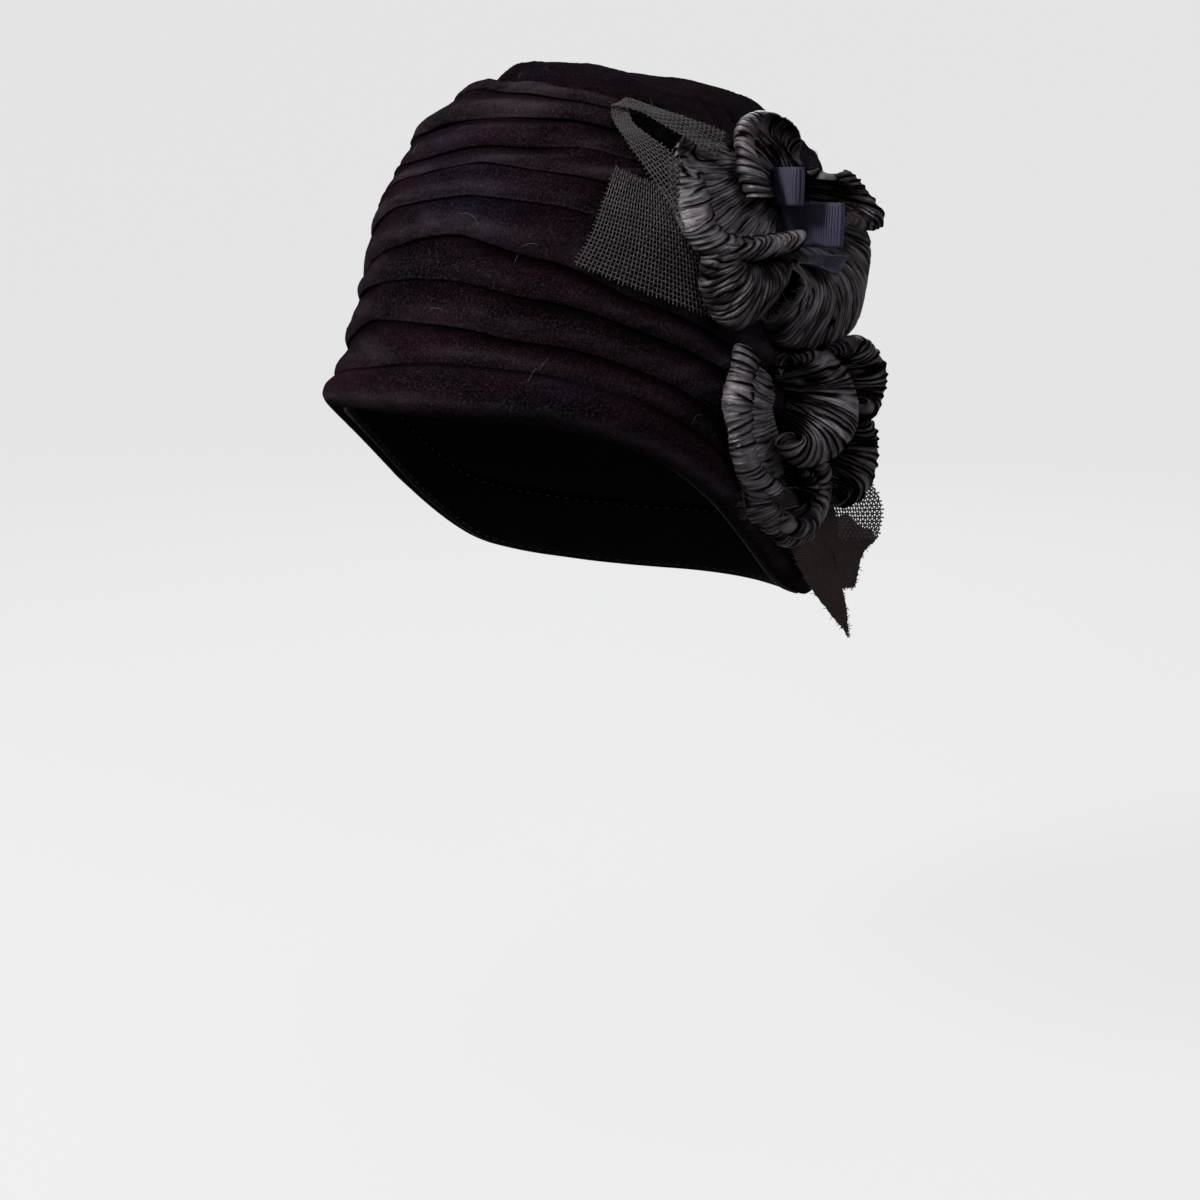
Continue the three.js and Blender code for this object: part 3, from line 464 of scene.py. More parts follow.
@dataclass(frozen=True)
class Finish:
    """What every finish has: a name, its groups and a way to place them."""

    groups: ShaderGroups
    name: str = "cloth"

    def build(self) -> Material:
        """Makes the material."""
        return new_material(self.name, self.looks)

    @staticmethod
    def cloth_place(bench: Bench, scale: Triple, turn: float = 0.0) -> object:
        """Places on the cloth's own UV map, scaled and turned."""
        uv = bench.add("ShaderNodeUVMap", uv_map="cloth").outputs["UV"]
        return bench.add("ShaderNodeMapping", {
            "Vector": uv, "Scale": scale, "Rotation": (0.0, 0.0, turn)}).outputs[0]

    @staticmethod
    def body_place(bench: Bench, scale: Triple) -> object:
        """Places in the piece's own space, scaled."""
        place = bench.add("ShaderNodeTexCoord").outputs["Object"]
        return bench.add("ShaderNodeMapping", {"Vector": place, "Scale": scale}).outputs[0]

    @staticmethod
    def tone(bench: Bench) -> object:
        """How raised or sunk the cloth is, from the piece's own attribute, which the finishes paint
        as light and shade.
        """
        return bench.add("ShaderNodeAttribute", attribute_name="tone").outputs["Fac"]

    @staticmethod
    def use(bench: Bench, group: Tree, **inputs: object) -> object:
        """Output of a placed group."""
        node = bench.add("ShaderNodeGroup", node_tree=group)
        bench.fill(node, inputs)
        return node.outputs[0]

    def on_cloth(self, bench: Bench, group: Tree, stretch: Triple, scale: float) -> object:
        """Output of a noise group that follows the cloth."""
        return self.use(bench, group, Vector=self.cloth_place(bench, stretch), Scale=scale)

    def in_body(
            self, bench: Bench, group: Tree, scale: float, stretch: Triple = EVEN) -> object:
        """Output of a noise group in the piece's own space."""
        return self.use(bench, group, Vector=self.body_place(bench, stretch), Scale=scale)

    @staticmethod
    def bump(
            bench: Bench, height: object, strength: float, distance: float,
            under: object = None) -> object:
        """Normal of a Bump node, over an earlier one if given."""
        inputs = {"Height": height, "Strength": strength, "Distance": distance}
        if under is not None:
            inputs["Normal"] = under
        return bench.add("ShaderNodeBump", inputs).outputs[0]


@dataclass(frozen=True)
class VelvetFinish(Finish):
    """Crushed plum-black pile with a soft sheen: painted shade in the valleys, a painted highlight on
    the crests, partly brushed pile, and light dust specks.
    """

    name: str = "velvet pile"
    # Deepest colour: random dark patches, and the painted shade in the valleys.
    deep: Colour = (0.0008, 0.0004, 0.0006, 1)
    plum: Colour = (0.0060, 0.0018, 0.0036, 1)
    # Colour of the light dust specks and of the painted highlight on the fold crests.
    dust_and_sheen: Colour = (0.0330, 0.0265, 0.0340, 1)
    night: Colour = (0.0036, 0.0036, 0.0084, 1)
    sheen: float = 0.028
    sheen_tint: Colour = (0.34, 0.29, 0.34, 1)
    pile_lean: float = math.radians(14)

    def looks(self, bench: Bench) -> dict:
        """Inputs of the finish's shader."""
        mottle, fibres = self.groups.mottle, self.groups.fibres
        broad = self.on_cloth(bench, mottle, (0.45, 1, 1), 42.0)
        hue = self.in_body(bench, mottle, 17.0, (1, 1, 1.6))
        speck = self.in_body(bench, fibres, 1500.0)
        drawn = self.on_cloth(bench, fibres, (0.06, 1, 1), 420.0)
        tone = self.tone(bench)
        ground = bench.mix(bench.remap(hue, 0.40, 0.95, (0.0, 0.85)), self.plum, self.night)
        ground = bench.mix(bench.remap(broad, 0.1, 0.8, (0.0, 1.0)), self.deep, ground)
        # Painted highlight on the fold crests where the tone attribute is high, broken by noise;
        # partly brushed pile.
        crest_highlight = bench.remap(tone, 0.02, 0.95, (0.0, 0.85))
        brushed_highlight = bench.times(crest_highlight, bench.remap(broad, 0.15, 0.85, (0.20, 1.0)))
        brushed_highlight = bench.times(brushed_highlight, bench.remap(drawn, 0.2, 0.8, (0.35, 1.0)))
        highlighted = bench.mix(brushed_highlight, ground, self.dust_and_sheen)
        # Painted shade: where the tone attribute is below 0, in the valleys, the colour goes towards
        # the deep colour.
        sunk = bench.mix(bench.remap(tone, -0.8, 0.0, (0.92, 0.0)), highlighted, self.deep)
        # Light dust specks, dimmed in the valleys by painted shade.
        pile = bench.times(
            bench.remap(speck, 0.48, 0.95, (0.0, 0.80)), bench.remap(tone, -0.8, 0.5, (0.12, 1.0)))
        rows = bench.add("ShaderNodeTexWave", {
            "Vector": self.cloth_place(bench, EVEN, self.pile_lean), "Scale": 175.0,
            "Distortion": 2.2, "Detail": 2.0, "Detail Scale": 1.2}, bands_direction="X")
        normal = self.bump(bench, rows.outputs["Fac"], 0.22, 0.00035)
        normal = self.bump(bench, broad, 0.35, 0.0009, normal)
        return {
            "Base Color": bench.mix(pile, sunk, self.dust_and_sheen),
            "Roughness": bench.spread(speck, 0.78, 1.0),
            "Specular IOR Level": 0.0,
            "Sheen Weight": self.sheen,
            "Sheen Roughness": 0.42,
            "Sheen Tint": self.sheen_tint,
            "Normal": self.bump(bench, speck, 0.8, 0.00030, normal)}


@dataclass(frozen=True)
class LiningFinish(Finish):
    """Plain dark weave: the lining, the band's ribbon and the net's close part."""

    name: str = "woven lining"
    shade: Colour = (0.0022, 0.0015, 0.0020, 1)
    light: Colour = (0.0078, 0.0060, 0.0074, 1)
    pitch: tuple[float, float] = (0.00055, 0.00055)
    roughness: tuple[float, float] = (0.5, 0.75)

    def looks(self, bench: Bench) -> dict:
        """Inputs of the finish's shader."""
        place = self.cloth_place(bench, EVEN)
        weave = self.use(
            bench, self.groups.weave, Vector=place, Across=self.pitch[0], Along=self.pitch[1])
        patch = self.use(bench, self.groups.mottle, Vector=place, Scale=60.0)
        share = bench.plus(bench.times(weave, 0.6), bench.times(patch, 0.4))
        normal = self.bump(bench, patch, 0.3, 0.0008)
        return {
            "Base Color": bench.mix(share, self.shade, self.light),
            "Roughness": bench.spread(patch, *self.roughness),
            "Specular IOR Level": 0.05,
            "Normal": self.bump(bench, weave, 0.5, 0.0002, normal)}


@dataclass(frozen=True)
class TaffetaFinish(Finish):
    """Charcoal taffeta, crinkled lengthwise, with a painted highlight on its pleats and painted shade
    between them.
    """

    name: str = "crinkled taffeta"
    shade: Colour = (0.0010, 0.0008, 0.0010, 1)
    body: Colour = (0.0215, 0.0180, 0.0215, 1)
    light: Colour = (0.1900, 0.1720, 0.1920, 1)
    plum: Colour = (0.0260, 0.0150, 0.0200, 1)

    def looks(self, bench: Bench) -> dict:
        """Inputs of the finish's shader."""
        tone = self.tone(bench)
        streaks = self.on_cloth(bench, self.groups.fibres, (1, 0.07, 1), 1500.0)
        crinkle = self.on_cloth(bench, self.groups.fibres, (1, 0.16, 1), 420.0)
        patch = self.in_body(bench, self.groups.mottle, 70.0)
        ground = bench.mix(patch, self.body, self.plum)
        # Painted shade in the fine crinkle streaks.
        ground = bench.mix(bench.remap(streaks, 0.25, 0.7, (0.55, 0.0)), ground, self.shade)
        # Noise that breaks up the painted highlight.
        painted_lustre = bench.times(
            bench.remap(crinkle, 0.2, 0.8, (0.25, 1.0)),
            bench.remap(streaks, 0.2, 0.75, (0.45, 1.15)))
        # Painted highlight: where the tone attribute is high, the colour goes towards the light
        # colour.
        bright = bench.times(bench.remap(tone, 0.42, 0.95, (0.0, 1.0)), painted_lustre)
        lit = bench.mix(bright, ground, self.light)
        # Painted shade: where the tone attribute is low, in the slits, the colour goes towards the
        # shade colour.
        dark = bench.remap(tone, 0.08, 0.46, (0.97, 0.0))
        normal = self.bump(bench, crinkle, 0.8, 0.0008)
        return {
            "Base Color": bench.mix(dark, lit, self.shade),
            "Roughness": bench.spread(streaks, 0.30, 0.50),
            "Specular IOR Level": bench.remap(tone, 0.25, 0.9, (0.0, 0.55)),
            "Normal": self.bump(bench, streaks, 0.6, 0.0003, normal)}


@dataclass(frozen=True)
class ThreadFinish(Finish):
    """Matt yarn: the net's threads, loose ends, stitches and lint."""

    name: str = "net yarn"
    shade: Colour = (0.0060, 0.0052, 0.0058, 1)
    light: Colour = (0.0950, 0.0860, 0.0890, 1)
    grain: float = 2600.0

    def looks(self, bench: Bench) -> dict:
        """Inputs of the finish's shader."""
        hairs = self.in_body(bench, self.groups.fibres, self.grain)
        patch = self.in_body(bench, self.groups.mottle, 110.0)
        share = bench.times(
            bench.remap(hairs, 0.1, 0.9, (0.35, 1.0)), bench.spread(patch, 0.55, 1.0))
        return {
            "Base Color": bench.mix(share, self.shade, self.light),
            "Roughness": bench.spread(patch, 0.72, 0.92),
            "Specular IOR Level": 0.06,
            "Normal": self.bump(bench, hairs, 0.6, 0.00018)}


@dataclass(frozen=True)
class GrosgrainFinish(Finish):
    """Navy ribbon: painted shade between its cross ribs, with a fine weave and an uneven tone."""

    name: str = "ribbed ribbon"
    shade: Colour = (0.0045, 0.0042, 0.0110, 1)
    body: Colour = (0.0240, 0.0225, 0.0440, 1)
    light: Colour = (0.0520, 0.0500, 0.0820, 1)
    pitch: tuple[float, float] = (0.00105, 0.00030)

    def looks(self, bench: Bench) -> dict:
        """Inputs of the finish's shader."""
        tone = self.tone(bench)
        place = self.cloth_place(bench, EVEN)
        weave = self.use(
            bench, self.groups.weave, Vector=place, Across=self.pitch[0], Along=self.pitch[1])
        patch = self.use(bench, self.groups.mottle, Vector=place, Scale=180.0)
        ground = bench.mix(bench.spread(patch, 0.0, 0.6), self.body, self.light)
        # Painted shade in the valleys between the ribs, where the tone attribute is low.
        valley = bench.remap(tone, -0.2, 0.9, (0.75, 0.0))
        woven = bench.mix(valley, ground, self.shade)
        return {
            "Base Color": bench.mix(bench.times(weave, 0.25), woven, self.light),
            "Roughness": bench.spread(patch, 0.48, 0.68),
            "Specular IOR Level": 0.12,
            "Normal": self.bump(bench, weave, 0.4, 0.00012)}


# Threads and stitches.


class ThreadLoom:
    """Turns paths into round threads, or into rows of stitches, with Geometry Nodes."""

    def __init__(self) -> None:
        """Builds both trees."""
        self.threads = self._thread_tree()
        self.stitches = self._stitch_tree()

    @staticmethod
    def _new(name: str, inputs: dict[str, str]) -> tuple:
        """A new geometry tree with its bench and its two end nodes."""
        sockets = {"Geometry": "Geometry", **inputs, "Finish": "Material", "Seed": "Int"}
        return open_tree("GeometryNodeTree", name, sockets, {"Geometry": "Geometry"})

    def _thread_tree(self) -> Tree:
        """Tree that draws a round thread along each path, a little uneven."""
        tree, bench, start, end = self._new(
            "drawn threads", {"Thread Radius": "Float", "Sides": "Int", "Unevenness": "Float"})
        curve = bench.add("GeometryNodeMeshToCurve", {0: start.outputs["Geometry"]})
        place = bench.add("GeometryNodeInputPosition")
        shifted = bench.add("ShaderNodeVectorMath", {
            0: place.outputs[0], 1: start.outputs["Seed"]}, operation="ADD")
        noise = bench.add("ShaderNodeTexNoise", {
            "Vector": shifted.outputs[0], "Scale": 900.0, "Detail": 1.0})
        swing = bench.times(bench.math("SUBTRACT", noise.outputs["Fac"], 0.5), 2.0)
        width = bench.plus(1.0, bench.times(swing, start.outputs["Unevenness"]))
        profile = bench.add("GeometryNodeCurvePrimitiveCircle", {
            "Resolution": start.outputs["Sides"], "Radius": start.outputs["Thread Radius"]})
        drawn = bench.add("GeometryNodeCurveToMesh", {
            "Curve": curve.outputs[0], "Profile Curve": profile.outputs[0],
            "Scale": width, "Fill Caps": True})
        smooth = bench.add("GeometryNodeSetShadeSmooth", {0: drawn.outputs[0]})
        self._end(bench, smooth.outputs[0], start, end)
        return tree

    def _stitch_tree(self) -> Tree:
        """Tree that lays short rounded stitches along each path."""
        tree, bench, start, end = self._new(
            "laid stitches", {"Pitch": "Float", "Stitch Length": "Float", "Stitch Width": "Float"})
        curve = bench.add("GeometryNodeMeshToCurve", {0: start.outputs["Geometry"]})
        spaced = bench.add("GeometryNodeResampleCurve", {
            "Curve": curve.outputs[0], "Length": start.outputs["Pitch"]}, mode="LENGTH")
        tangent = bench.add("GeometryNodeInputTangent")
        turned = bench.add("FunctionNodeAlignRotationToVector", {
            "Vector": tangent.outputs[0]}, axis="X")
        varied = bench.add(
            "FunctionNodeRandomValue", {"Seed": start.outputs["Seed"]}, data_type="FLOAT")
        low, high = [
            socket for socket in varied.inputs if socket.enabled and socket.type == "VALUE"][:2]
        low.default_value, high.default_value = 0.85, 1.15
        factor = next(socket for socket in varied.outputs if socket.enabled)
        width = start.outputs["Stitch Width"]
        size = bench.add("ShaderNodeCombineXYZ", {
            0: bench.times(start.outputs["Stitch Length"], factor), 1: width, 2: width})
        bead = bench.add("GeometryNodeMeshUVSphere", {"Segments": 6, "Rings": 5, "Radius": 0.5})
        placed = bench.add("GeometryNodeInstanceOnPoints", {
            "Points": spaced.outputs[0], "Instance": bead.outputs[0],
            "Rotation": turned.outputs[0], "Scale": size.outputs[0]})
        whole = bench.add("GeometryNodeRealizeInstances", {0: placed.outputs[0]})
        smooth = bench.add("GeometryNodeSetShadeSmooth", {0: whole.outputs[0]})
        self._end(bench, smooth.outputs[0], start, end)
        return tree

    @staticmethod
    def _end(bench: Bench, made: object, start: Node, end: Node) -> None:
        """Ends a tree in Realize Instances and Set Material."""
        real = bench.add("GeometryNodeRealizeInstances", {0: made})
        dressed = bench.add("GeometryNodeSetMaterial", {
            "Geometry": real.outputs[0], "Material": start.outputs["Finish"]})
        bench.feed(end.inputs[0], dressed.outputs[0])

    def make(self, name: str, strands: list[Array], tree: Tree, **values: object) -> Piece:
        """Runs a tree over paths and keeps the result as a plain mesh.

        Args:
            name: the new object's name.
            strands: the points of each path, in millimetres.
            tree: one of the loom's trees.
            values: the tree's inputs, with spaces in their names written as underscores.

        Returns:
            The finished object.
        """
        points = np.concatenate(strands) * MM
        edges, first = [], 0
        for strand in strands:
            run = np.arange(first, first + len(strand) - 1)
            edges.append(np.stack([run, run + 1], axis=1))
            first += len(strand)
        mesh = bpy.data.meshes.new(f"{name}_paths")
        mesh.from_pydata(points.tolist(), np.concatenate(edges).tolist(), [])
        guide = link(f"{name}_paths", mesh)
        modifier = guide.modifiers.new("loom", "NODES")
        modifier.node_group = tree
        for item in tree.interface.items_tree:
            key = item.name.replace(" ", "_")
            if item.in_out == "INPUT" and key in values:
                modifier[item.identifier] = values[key]
        graph = bpy.context.evaluated_depsgraph_get()
        made = bpy.data.meshes.new_from_object(guide.evaluated_get(graph), depsgraph=graph)
        made.name = name
        bpy.data.objects.remove(guide)
        bpy.data.meshes.remove(mesh)
        return link(name, made)


# The crown's form.


@dataclass(frozen=True)
class Fold:
    """One fold of the velvet: its lip's place and its swell at each station."""

    lip: tuple[float, ...]
    swell: tuple[float, ...]


@dataclass
class CrownForm:
    """The hat's outline, folds and rim, as functions of azimuth and share of the way up."""

    half_width: float = 85.0
    front_reach: float = 100.0
    back_reach: float = 99.0
    height: float = 109.0
    lean: float = 13.0
    wall: float = 2.0
    fold_swell: float = 3.4
    tip_puff: float = 3.6
    roll_swell: float = 4.6
    overhang: float = 1.7
    merge_fill: float = 2.1
    lip_wander: float = 0.0022
    swell_change: float = 0.16
    lip_reach: float = 0.07
    profile: tuple = (
        (0.82, -0.80), (0.89, -0.55), (0.965, -0.27), (1.00, 0.0), (0.96, 0.14), (0.915, 0.31),
        (0.885, 0.49), (0.815, 0.67), (0.69, 0.83), (0.50, 0.945), (0.26, 0.99), (0.0, 1.0))
    rim: tuple = (
        (0, 0.0), (30, -0.008), (48, -0.055), (60, -0.14), (70, -0.25), (78, -0.36),
        (84, -0.46), (90, -0.55), (105, -0.63), (122, -0.68), (145, -0.725), (180, -0.73))
    rim_softness: float = 14.0
    rim_samples: int = 15
    stations: tuple = (-150, -95, -40, -15, 10, 30, 50, 80, 120, 160)
    folds: tuple = (
        Fold((0.072, 0.065, 0.055, 0.073, 0.091, 0.084, 0.081, 0.075, 0.070, 0.070),
             (0.5, 0.5, 0.6, 0.6, 0.6, 0.5, 0.4, 0.4, 0.5, 0.5)),
        Fold((0.130, 0.125, 0.120, 0.170, 0.160, 0.143, 0.133, 0.135, 0.140, 0.135),
             (0.6, 0.6, 0.8, 0.8, 0.7, 0.6, 0.5, 0.4, 0.5, 0.6)),
        Fold((0.215, 0.210, 0.225, 0.243, 0.245, 0.221, 0.206, 0.215, 0.220, 0.215),
             (0.7, 0.7, 0.8, 0.8, 0.8, 0.7, 0.6, 0.4, 0.6, 0.7)),
        Fold((0.285, 0.280, 0.255, 0.312, 0.334, 0.298, 0.255, 0.270, 0.290, 0.290),
             (0.7, 0.7, 0.7, 0.8, 0.8, 0.7, 0.5, 0.4, 0.6, 0.7)),
        Fold((0.370, 0.360, 0.350, 0.388, 0.405, 0.392, 0.365, 0.355, 0.370, 0.375),
             (0.6, 0.7, 0.8, 0.8, 0.8, 0.7, 0.6, 0.4, 0.6, 0.6)),
        Fold((0.430, 0.430, 0.415, 0.445, 0.469, 0.457, 0.445, 0.430, 0.435, 0.440),
             (0.5, 0.5, 0.6, 0.6, 0.6, 0.5, 0.5, 0.4, 0.5, 0.5)),
        Fold((0.500, 0.490, 0.475, 0.493, 0.517, 0.509, 0.497, 0.490, 0.500, 0.500),
             (0.6, 0.6, 0.7, 0.7, 0.7, 0.6, 0.5, 0.4, 0.6, 0.6)),
        Fold((0.570, 0.565, 0.540, 0.580, 0.585, 0.580, 0.565, 0.550, 0.560, 0.570),
             (0.9, 1.0, 1.3, 1.2, 1.1, 1.0, 0.9, 0.6, 1.0, 0.9)),
        Fold((0.665, 0.660, 0.655, 0.672, 0.650, 0.630, 0.605, 0.600, 0.630, 0.660),
             (0.7, 0.9, 1.3, 1.0, 0.9, 0.8, 0.7, 0.6, 0.9, 0.9)),
        Fold((0.750, 0.745, 0.745, 0.725, 0.700, 0.665, 0.640, 0.640, 0.690, 0.740),
             (0.8, 0.8, 0.8, 0.8, 0.6, 0.2, -0.4, -0.8, 0.0, 0.7)),
    )
    steps: int = 600

    def __post_init__(self) -> None:
        """Measures the outline along its length."""
        place = np.linspace(0, 1, self.steps + 1)
        reach, height = spline(np.array(self.profile), place).T
        mean = (self.half_width + self.front_reach) / 2
        parts = np.hypot(np.diff(reach) * mean, np.diff(height) * self.height)
        self.lengths = np.concatenate([[0], np.cumsum(parts)])
        self.reaches, self.heights = np.maximum(reach, 0), height
        self.top = float(self.lengths[-1])
        self.seat = self.height - self.wall
        self.rim_lengths = self.length_at(np.array([row[1] for row in self.rim]))

    def length_at(self, height: Array) -> Array:
        """Length along the outline at a share of the crown's height."""
        return np.interp(height, self.heights, self.lengths)

    def rim_length(self, azimuth: Array) -> Array:
        """Length along the outline at the rim, its corners rounded."""
        spread = self.rim_softness * np.linspace(-1, 1, self.rim_samples)
        turned = np.abs((np.asarray(azimuth)[..., None] + spread + 540) % 360 - 180)
        return np.interp(turned, [row[0] for row in self.rim], self.rim_lengths).mean(axis=-1)

    def around(self, row: tuple[float, ...], azimuth: Array) -> Array:
        """Value round the crown from a row given at the stations, eased between them."""
        keys = np.array([*self.stations, self.stations[0] + 360], float)
        values = np.array([*row, row[0]])
        turned = (azimuth - keys[0]) % 360 + keys[0]
        i = np.clip(np.searchsorted(keys, turned, side="right") - 1, 0, len(row) - 1)
        f = (turned - keys[i]) / (keys[i + 1] - keys[i])
        return values[i] + (values[i + 1] - values[i]) * (0.5 * f + 0.5 * ease(f))

    def base(self, azimuth: Array, length: Array) -> Array:
        """Points on the crown's smooth base."""
        azimuth, length = np.broadcast_arrays(azimuth, length)
        held = np.clip(length, 0, self.top)
        reach = np.interp(held, self.lengths, self.reaches)
        height = np.interp(held, self.lengths, self.heights) - np.maximum(-length, 0) / self.height
        angle = np.radians(azimuth)
        depth = np.where(np.cos(angle) > 0, self.front_reach, self.back_reach)
        return np.stack([
            self.half_width * reach * np.sin(angle),
            -depth * reach * np.cos(angle) + self.lean * (np.maximum(height, 0) - 1),
            self.height * height - self.seat], axis=-1)

    def normal(self, azimuth: Array, length: Array) -> Array:
        """Outward normals of the crown's base."""
        azimuth, length = np.broadcast_arrays(azimuth, length)
        along = np.clip(length, 1.0, self.top - 1.5)
        turn = self.base(azimuth + 0.5, along) - self.base(azimuth - 0.5, along)
        rise = self.base(azimuth, along + 1) - self.base(azimuth, along - 1)
        return unit(np.cross(turn, rise))

    def point(self, azimuth: Array, length: Array, off: Array) -> Array:
        """Points off the crown's base by a distance along its normal."""
        off = np.asarray(off)[..., None]
        return self.base(azimuth, length) + self.normal(azimuth, length) * off

    def length_at_share(self, azimuth: Array, share: Array) -> Array:
        """Length along the outline at a share of the way from the rim to the top."""
        rim = self.rim_length(azimuth)
        return rim + (self.top - rim) * share

    def share_at_height(self, azimuth: Array, height: Array) -> Array:
        """Share of the way up at a share of the crown's height."""
        rim = self.rim_length(azimuth)
        return (self.length_at(height) - rim) / (self.top - rim)

    def lip(self, fold: int, azimuth: Array) -> Array:
        """Share of the way up at a fold's lip, which wanders a little."""
        wander = self.lip_wander * ring_noise(40 + fold, 26, azimuth)
        return self.around(self.folds[fold].lip, azimuth) + wander

    def fold_off(self, fold: int, azimuth: Array, up: Array) -> Array:
        """How far the velvet stands off the base on a fold.

        Args:
            fold: the fold's number, lowest first.
            azimuth: places round the crown in degrees.
            up: share of the fold's own height above its lip.

        Returns:
            Distances in millimetres.
        """
        swell = self.around(self.folds[fold].swell, azimuth) * self.fold_swell
        if fold == len(self.folds) - 1:
            rise = np.sin(math.pi * np.minimum(up * 2.2, 0.5) ** 0.7 / 1.231)
            puff = self.tip_puff * np.cos(np.radians(azimuth + 15)) * (1 - up)
            return rise * (swell * (1 - up) + puff)
        vary = self.swell_change * ring_noise(60 + fold, 18, azimuth)
        shape = np.sin(math.pi * np.clip(1 - up, 0, 1) ** 1.6) ** 0.66
        return swell * (1 + vary) * shape

    def drop(self, fold: int, azimuth: Array, up: Array) -> Array:
        """How far a fold's lip hangs down over the valley below it."""
        swell = np.clip(self.around(self.folds[fold].swell, azimuth), 0, 1.2)
        swell = swell * (1 - 0.85 * self.merge(fold, azimuth))
        near = up / self.lip_reach
        return self.overhang * swell * near * np.exp(1 - near)

    def merge(self, fold: int, azimuth: Array) -> Array:
        """How far a fold runs into the one below it round the crown, from 0 to 1."""
        if not 0 < fold < len(self.folds) - 1:
            return np.zeros_like(azimuth)
        return ease(0.15 + 1.25 * ring_noise(120 + fold, 8, azimuth))

    def wrinkles(self, azimuth: Array, length: Array) -> Array:
        """Small unevenness of the draped velvet."""
        turns = azimuth / 360
        long = Lattice(7, 14, 64).at(turns * 14 + length * 0.010, length / 7.5)
        short = Lattice(8, 34, 96).at(turns * 34 - length * 0.03, length / 3.4)
        return 0.45 * long + 0.14 * short + 0.75 * self.ridges(azimuth, length)

    def ridges(self, azimuth: Array, length: Array) -> Array:
        """Soft drawn lines that run along the folds, from 0 between them to 1 on them."""
        turns = azimuth / 360
        lie = Lattice(9, 11, 96).at(turns * 11 + length * 0.025, length / 5.2)
        mask = Lattice(10, 16, 96).at(turns * 16, length / 9.0)
        return ease(1 - 2.6 * np.abs(lie)) * ease(0.55 + 0.9 * mask)

    def outside(self, azimuth: Array, share: Array) -> Array:
        """How far the hat's outside stands off the base, the roll included."""
        off = np.zeros(np.broadcast_shapes(np.shape(azimuth), np.shape(share)))
        seam = self.lip(0, azimuth)
        off = np.where(share < seam, self.roll_swell, off)
        for fold in range(len(self.folds)):
            low = self.lip(fold, azimuth)
            high = self.lip(fold + 1, azimuth) if fold + 1 < len(self.folds) else 1.0
            up = np.clip((share - low) / (high - low), 0, 1)
            off = np.where((share >= low) & (share < high), self.fold_off(fold, azimuth, up), off)
        return off

    def push_clear(self, points: Array, margin: float) -> Array:
        """Moves points that are in the hat level outwards, until they lie on it.

        Args:
            points: points in millimetres, with any leading shape.
            margin: distance to keep from the velvet.

        Returns:
            The points, moved where they have to be.
        """
        height = (points[..., 2] + self.seat) / self.height
        shift = self.lean * (np.maximum(height, 0) - 1)
        x, y = points[..., 0], points[..., 1] - shift
        depth = np.where(y < 0, self.front_reach, self.back_reach)
        across, along = x / self.half_width, -y / depth
        azimuth = np.degrees(np.arctan2(across, along))
        ratio = np.maximum(np.hypot(across, along), 1e-6)
        held = np.clip(height, -0.8, 0.999)
        length, share = self.length_at(held), self.share_at_height(azimuth, held)
        reach = np.interp(length, self.lengths, self.reaches)
        level = self.normal(azimuth, length)
        slope = np.maximum(np.hypot(level[..., 0], level[..., 1]), 0.5)
        need = (self.outside(azimuth, np.clip(share, 0, 0.999)) + margin) / slope
        need = np.where((share < -0.02) | (height > 0.97), -1e3, need)
        radius = np.hypot(x, y) / ratio
        wanted = np.maximum(ratio, reach + need / np.maximum(radius, 1.0))
        grow = (wanted / ratio)[..., None]
        level_part = np.stack([x, y], axis=-1) * grow
        return np.stack([level_part[..., 0], level_part[..., 1] + shift, points[..., 2]], axis=-1)


# Velvet pieces.


